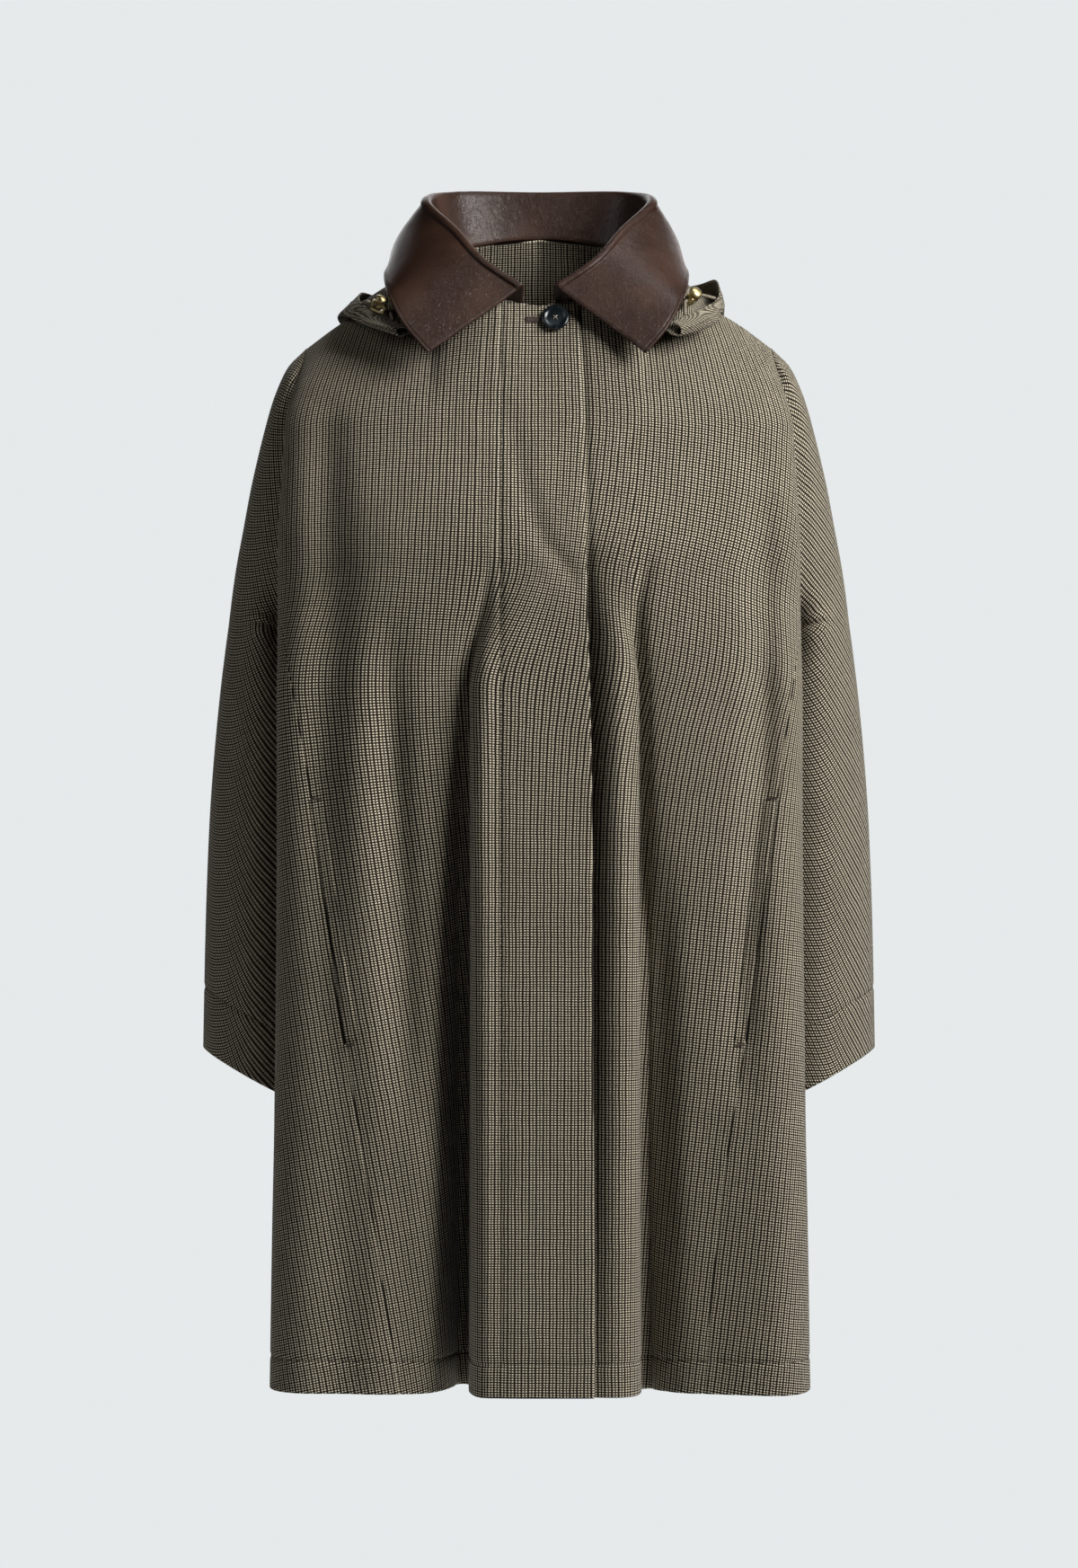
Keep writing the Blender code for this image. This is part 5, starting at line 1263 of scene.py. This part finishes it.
def addDrawcords(side):          # from both ends of a lock up to the casing along the hood's rim
    place = lockFrame(side)
    along, centre = np.array(place.col[0][:3]), np.array(place.translation) / mm
    rims = hoodLines()[4]
    half = len(rims) // 2
    rims = rims[:half + 1] if side == "right" else rims[half:][::-1]
    for label, away in (("low", -along), ("high", along)):
        rim = readAt(drawcord[label + "Rim"], range(half + 1), rims)
        start = centre + away * (locks["size"][0] / 2 + drawcord["clear"])
        line = [start, start + away * drawcord["straight"], rim + drawcord["over"] * drawcord["end"]]
        line = through(line, drawcord["steps"])
        mesh = tube("braidedCord", line, drawcord["size"] / 2, *drawcord["braid"])
        addPiece("braidedCord_" + label + "_" + side, mesh, "cord", "drawcord_" + label + "_" + side)


addButton()
addButtonhole()
for side in ("right", "left"):
    addWelt(side)
    addLock(side)
    addDrawcords(side)
print("small parts made")


# stitches, set along lines of edges by one tree of nodes

stitches = {     # pitch, length and thickness of a stitch, then where the lines run
    "seam": (3.3, 2.6, 0.6), "leather": (2.9, 2.3, 0.5), "tack": (1.0, 1.7, 0.5), "uneven": (0.88, 1.1), "seed": 3,
    "segments": 6, "rings": 5, "lift": 0.12, "flyX": -30.5, "flyTop": -26, "flyStep": -4.0,
    "casing": 12, "casingRows": 24,
    "tackFrom": 0.6, "tackLong": 7, "tackSteps": 6, "tackRows": 4, "tackGap": 0.5, "tackLift": 1.3,
}


def makeStitchTree():
    tree = bpy.data.node_groups.new("stitchesAlong", "GeometryNodeTree")
    for label, kind in (("Lines", "Geometry"), ("Pitch", "Float"), ("Length", "Float"), ("Thickness", "Float"),
                        ("Seed", "Int"), ("Thread", "Material")):
        tree.interface.new_socket(label, in_out="INPUT", socket_type="NodeSocket" + kind)
    tree.interface.new_socket("Stitches", in_out="OUTPUT", socket_type="NodeSocketGeometry")
    given, result = tree.nodes.new("NodeGroupInput").outputs, tree.nodes.new("NodeGroupOutput").inputs

    def made(kind, inputs=None, family="GeometryNode", **settings):
        return addNode(tree, kind, inputs, family, **settings).outputs

    curve = made("MeshToCurve", {0: given["Lines"]})[0]
    spaced = made("ResampleCurve", {"Curve": curve, "Length": given["Pitch"]}, mode="LENGTH")[0]
    turn = made("AlignRotationToVector", {"Vector": made("InputTangent")[0]}, "FunctionNode", axis="Z")[0]
    stitch = made("MeshUVSphere", {"Segments": stitches["segments"], "Rings": stitches["rings"],
                                   "Radius": 0.5})["Mesh"]
    size = made("CombineXYZ", {0: given["Thickness"], 1: given["Thickness"], 2: given["Length"]}, "ShaderNode")[0]
    least, most = stitches["uneven"]
    uneven = made("RandomValue", {2: least, 3: most, "Seed": given["Seed"]}, "FunctionNode")[1]
    size = made("VectorMath", {0: size, "Scale": uneven}, "ShaderNode", operation="SCALE")[0]
    placed = made("InstanceOnPoints", {"Points": spaced, "Instance": stitch, "Rotation": turn, "Scale": size})[0]
    real = made("RealizeInstances", {0: placed})[0]
    coloured = made("SetMaterial", {"Geometry": real, "Material": given["Thread"]})[0]
    tree.links.new(coloured, result[0])
    return tree


stitchTree = makeStitchTree()


def addStitches(name, lines, kind, stuff):
    points, edges = [], []
    for line in lines:
        edges.extend((len(points) + k, len(points) + k + 1) for k in range(len(line) - 1))
        points.extend((np.asarray(line) * mm).tolist())
    base = linked(name + "Lines", newMesh(name + "Lines", points, [], edges))
    setting = base.modifiers.new("stitches", "NODES")
    setting.node_group = stitchTree
    pitch, length, thick = (size * mm for size in stitches[kind])
    values = {"Pitch": pitch, "Length": length, "Thickness": thick, "Seed": stitches["seed"],
              "Thread": materials[stuff]}
    for socket in stitchTree.interface.items_tree:
        if socket.name in values:
            setting[socket.identifier] = values[socket.name]
    made = plainMesh(base)
    bpy.data.objects.remove(base)
    made.shade_smooth()
    print(name, len(made.polygons), "faces")
    return addPiece(name, made, stuff)


def readIn(lines, amount):       # the point at a length from the start of each line
    return np.array([readAt(amount, lengths(line), line) for line in lines])


def upFrom(face, amount):        # the points of a grid at a length up from its last row
    return readIn(face.transpose(1, 0, 2)[:, ::-1], amount)


def hemLine(name, up):
    return upFrom(grids[name] + outerFace(name) * (clothWall / 2 + stitches["lift"]), up)


def flyLine():
    line = []
    for z in np.arange(stitches["flyTop"], hemZ + sewing["hem"], stitches["flyStep"]):
        point, facing = frontFace("right", stitches["flyX"], z)
        line.append(point + facing * (clothWall / 2 + stitches["lift"]))
    return line


def collarLine():                # round the free edges of the fall
    fall = grids["collar"] + outerFace("collar") * (leatherWall / 2 + stitches["lift"])
    fall = fall[-sum(collarCut["fallRows"]):]
    inset = sewing["collar"][0]
    ends = [readIn(side, inset) for side in (fall, fall[:, ::-1])]
    edge = upFrom(fall, inset)
    along = lengths(edge)
    edge = edge[(along > inset) & (along < along[-1] - inset)]
    ends = [end[fromEnd(end) > inset] for end in ends]
    return np.concatenate((ends[0], edge, ends[1][::-1]))


def casingLine():                # holds the tunnel of the drawcord along the hood's rim
    rim = grids["hood"][-stitches["casingRows"]:]
    return upFrom(rim + outwardOf(rim, (0, 0)) * (clothWall / 2 + stitches["lift"]), stitches["casing"])


def tackLines():                 # short bars of close stitches at both ends of each pocket
    lines = []
    for side, way in (("right", 1), ("left", -1)):
        panel = grids["front_" + side]
        for z in (pocketSeam["openFrom"], pocketSeam["openTo"]):
            seam = panel[np.argmin(np.abs(panel[:, -1, 2] - z)), -1]
            for row in range(stitches["tackRows"]):
                height = z + (row - (stitches["tackRows"] - 1) / 2) * stitches["tackGap"]
                bar = []
                for reach in np.linspace(stitches["tackFrom"], stitches["tackLong"], stitches["tackSteps"]):
                    point, facing = frontFace(side, seam[0] + way * reach, height)
                    bar.append(point + facing * (clothWall / 2 + stitches["tackLift"]))
                lines.append(bar)
    return lines


hems = [hemLine(name, sewing["hem"]) for name in grids if name.startswith(("front", "side_panel", "back"))]
cuffs = [hemLine("sleeve_" + side, sewing["cuff"]) for side in ("right", "left")]
addStitches("seamStitches", hems + cuffs + [flyLine(), casingLine()], "seam", "thread")
addStitches("collarStitches", [collarLine()], "leather", "thread")
addStitches("pocketTacks", tackLines(), "tack", "binding")
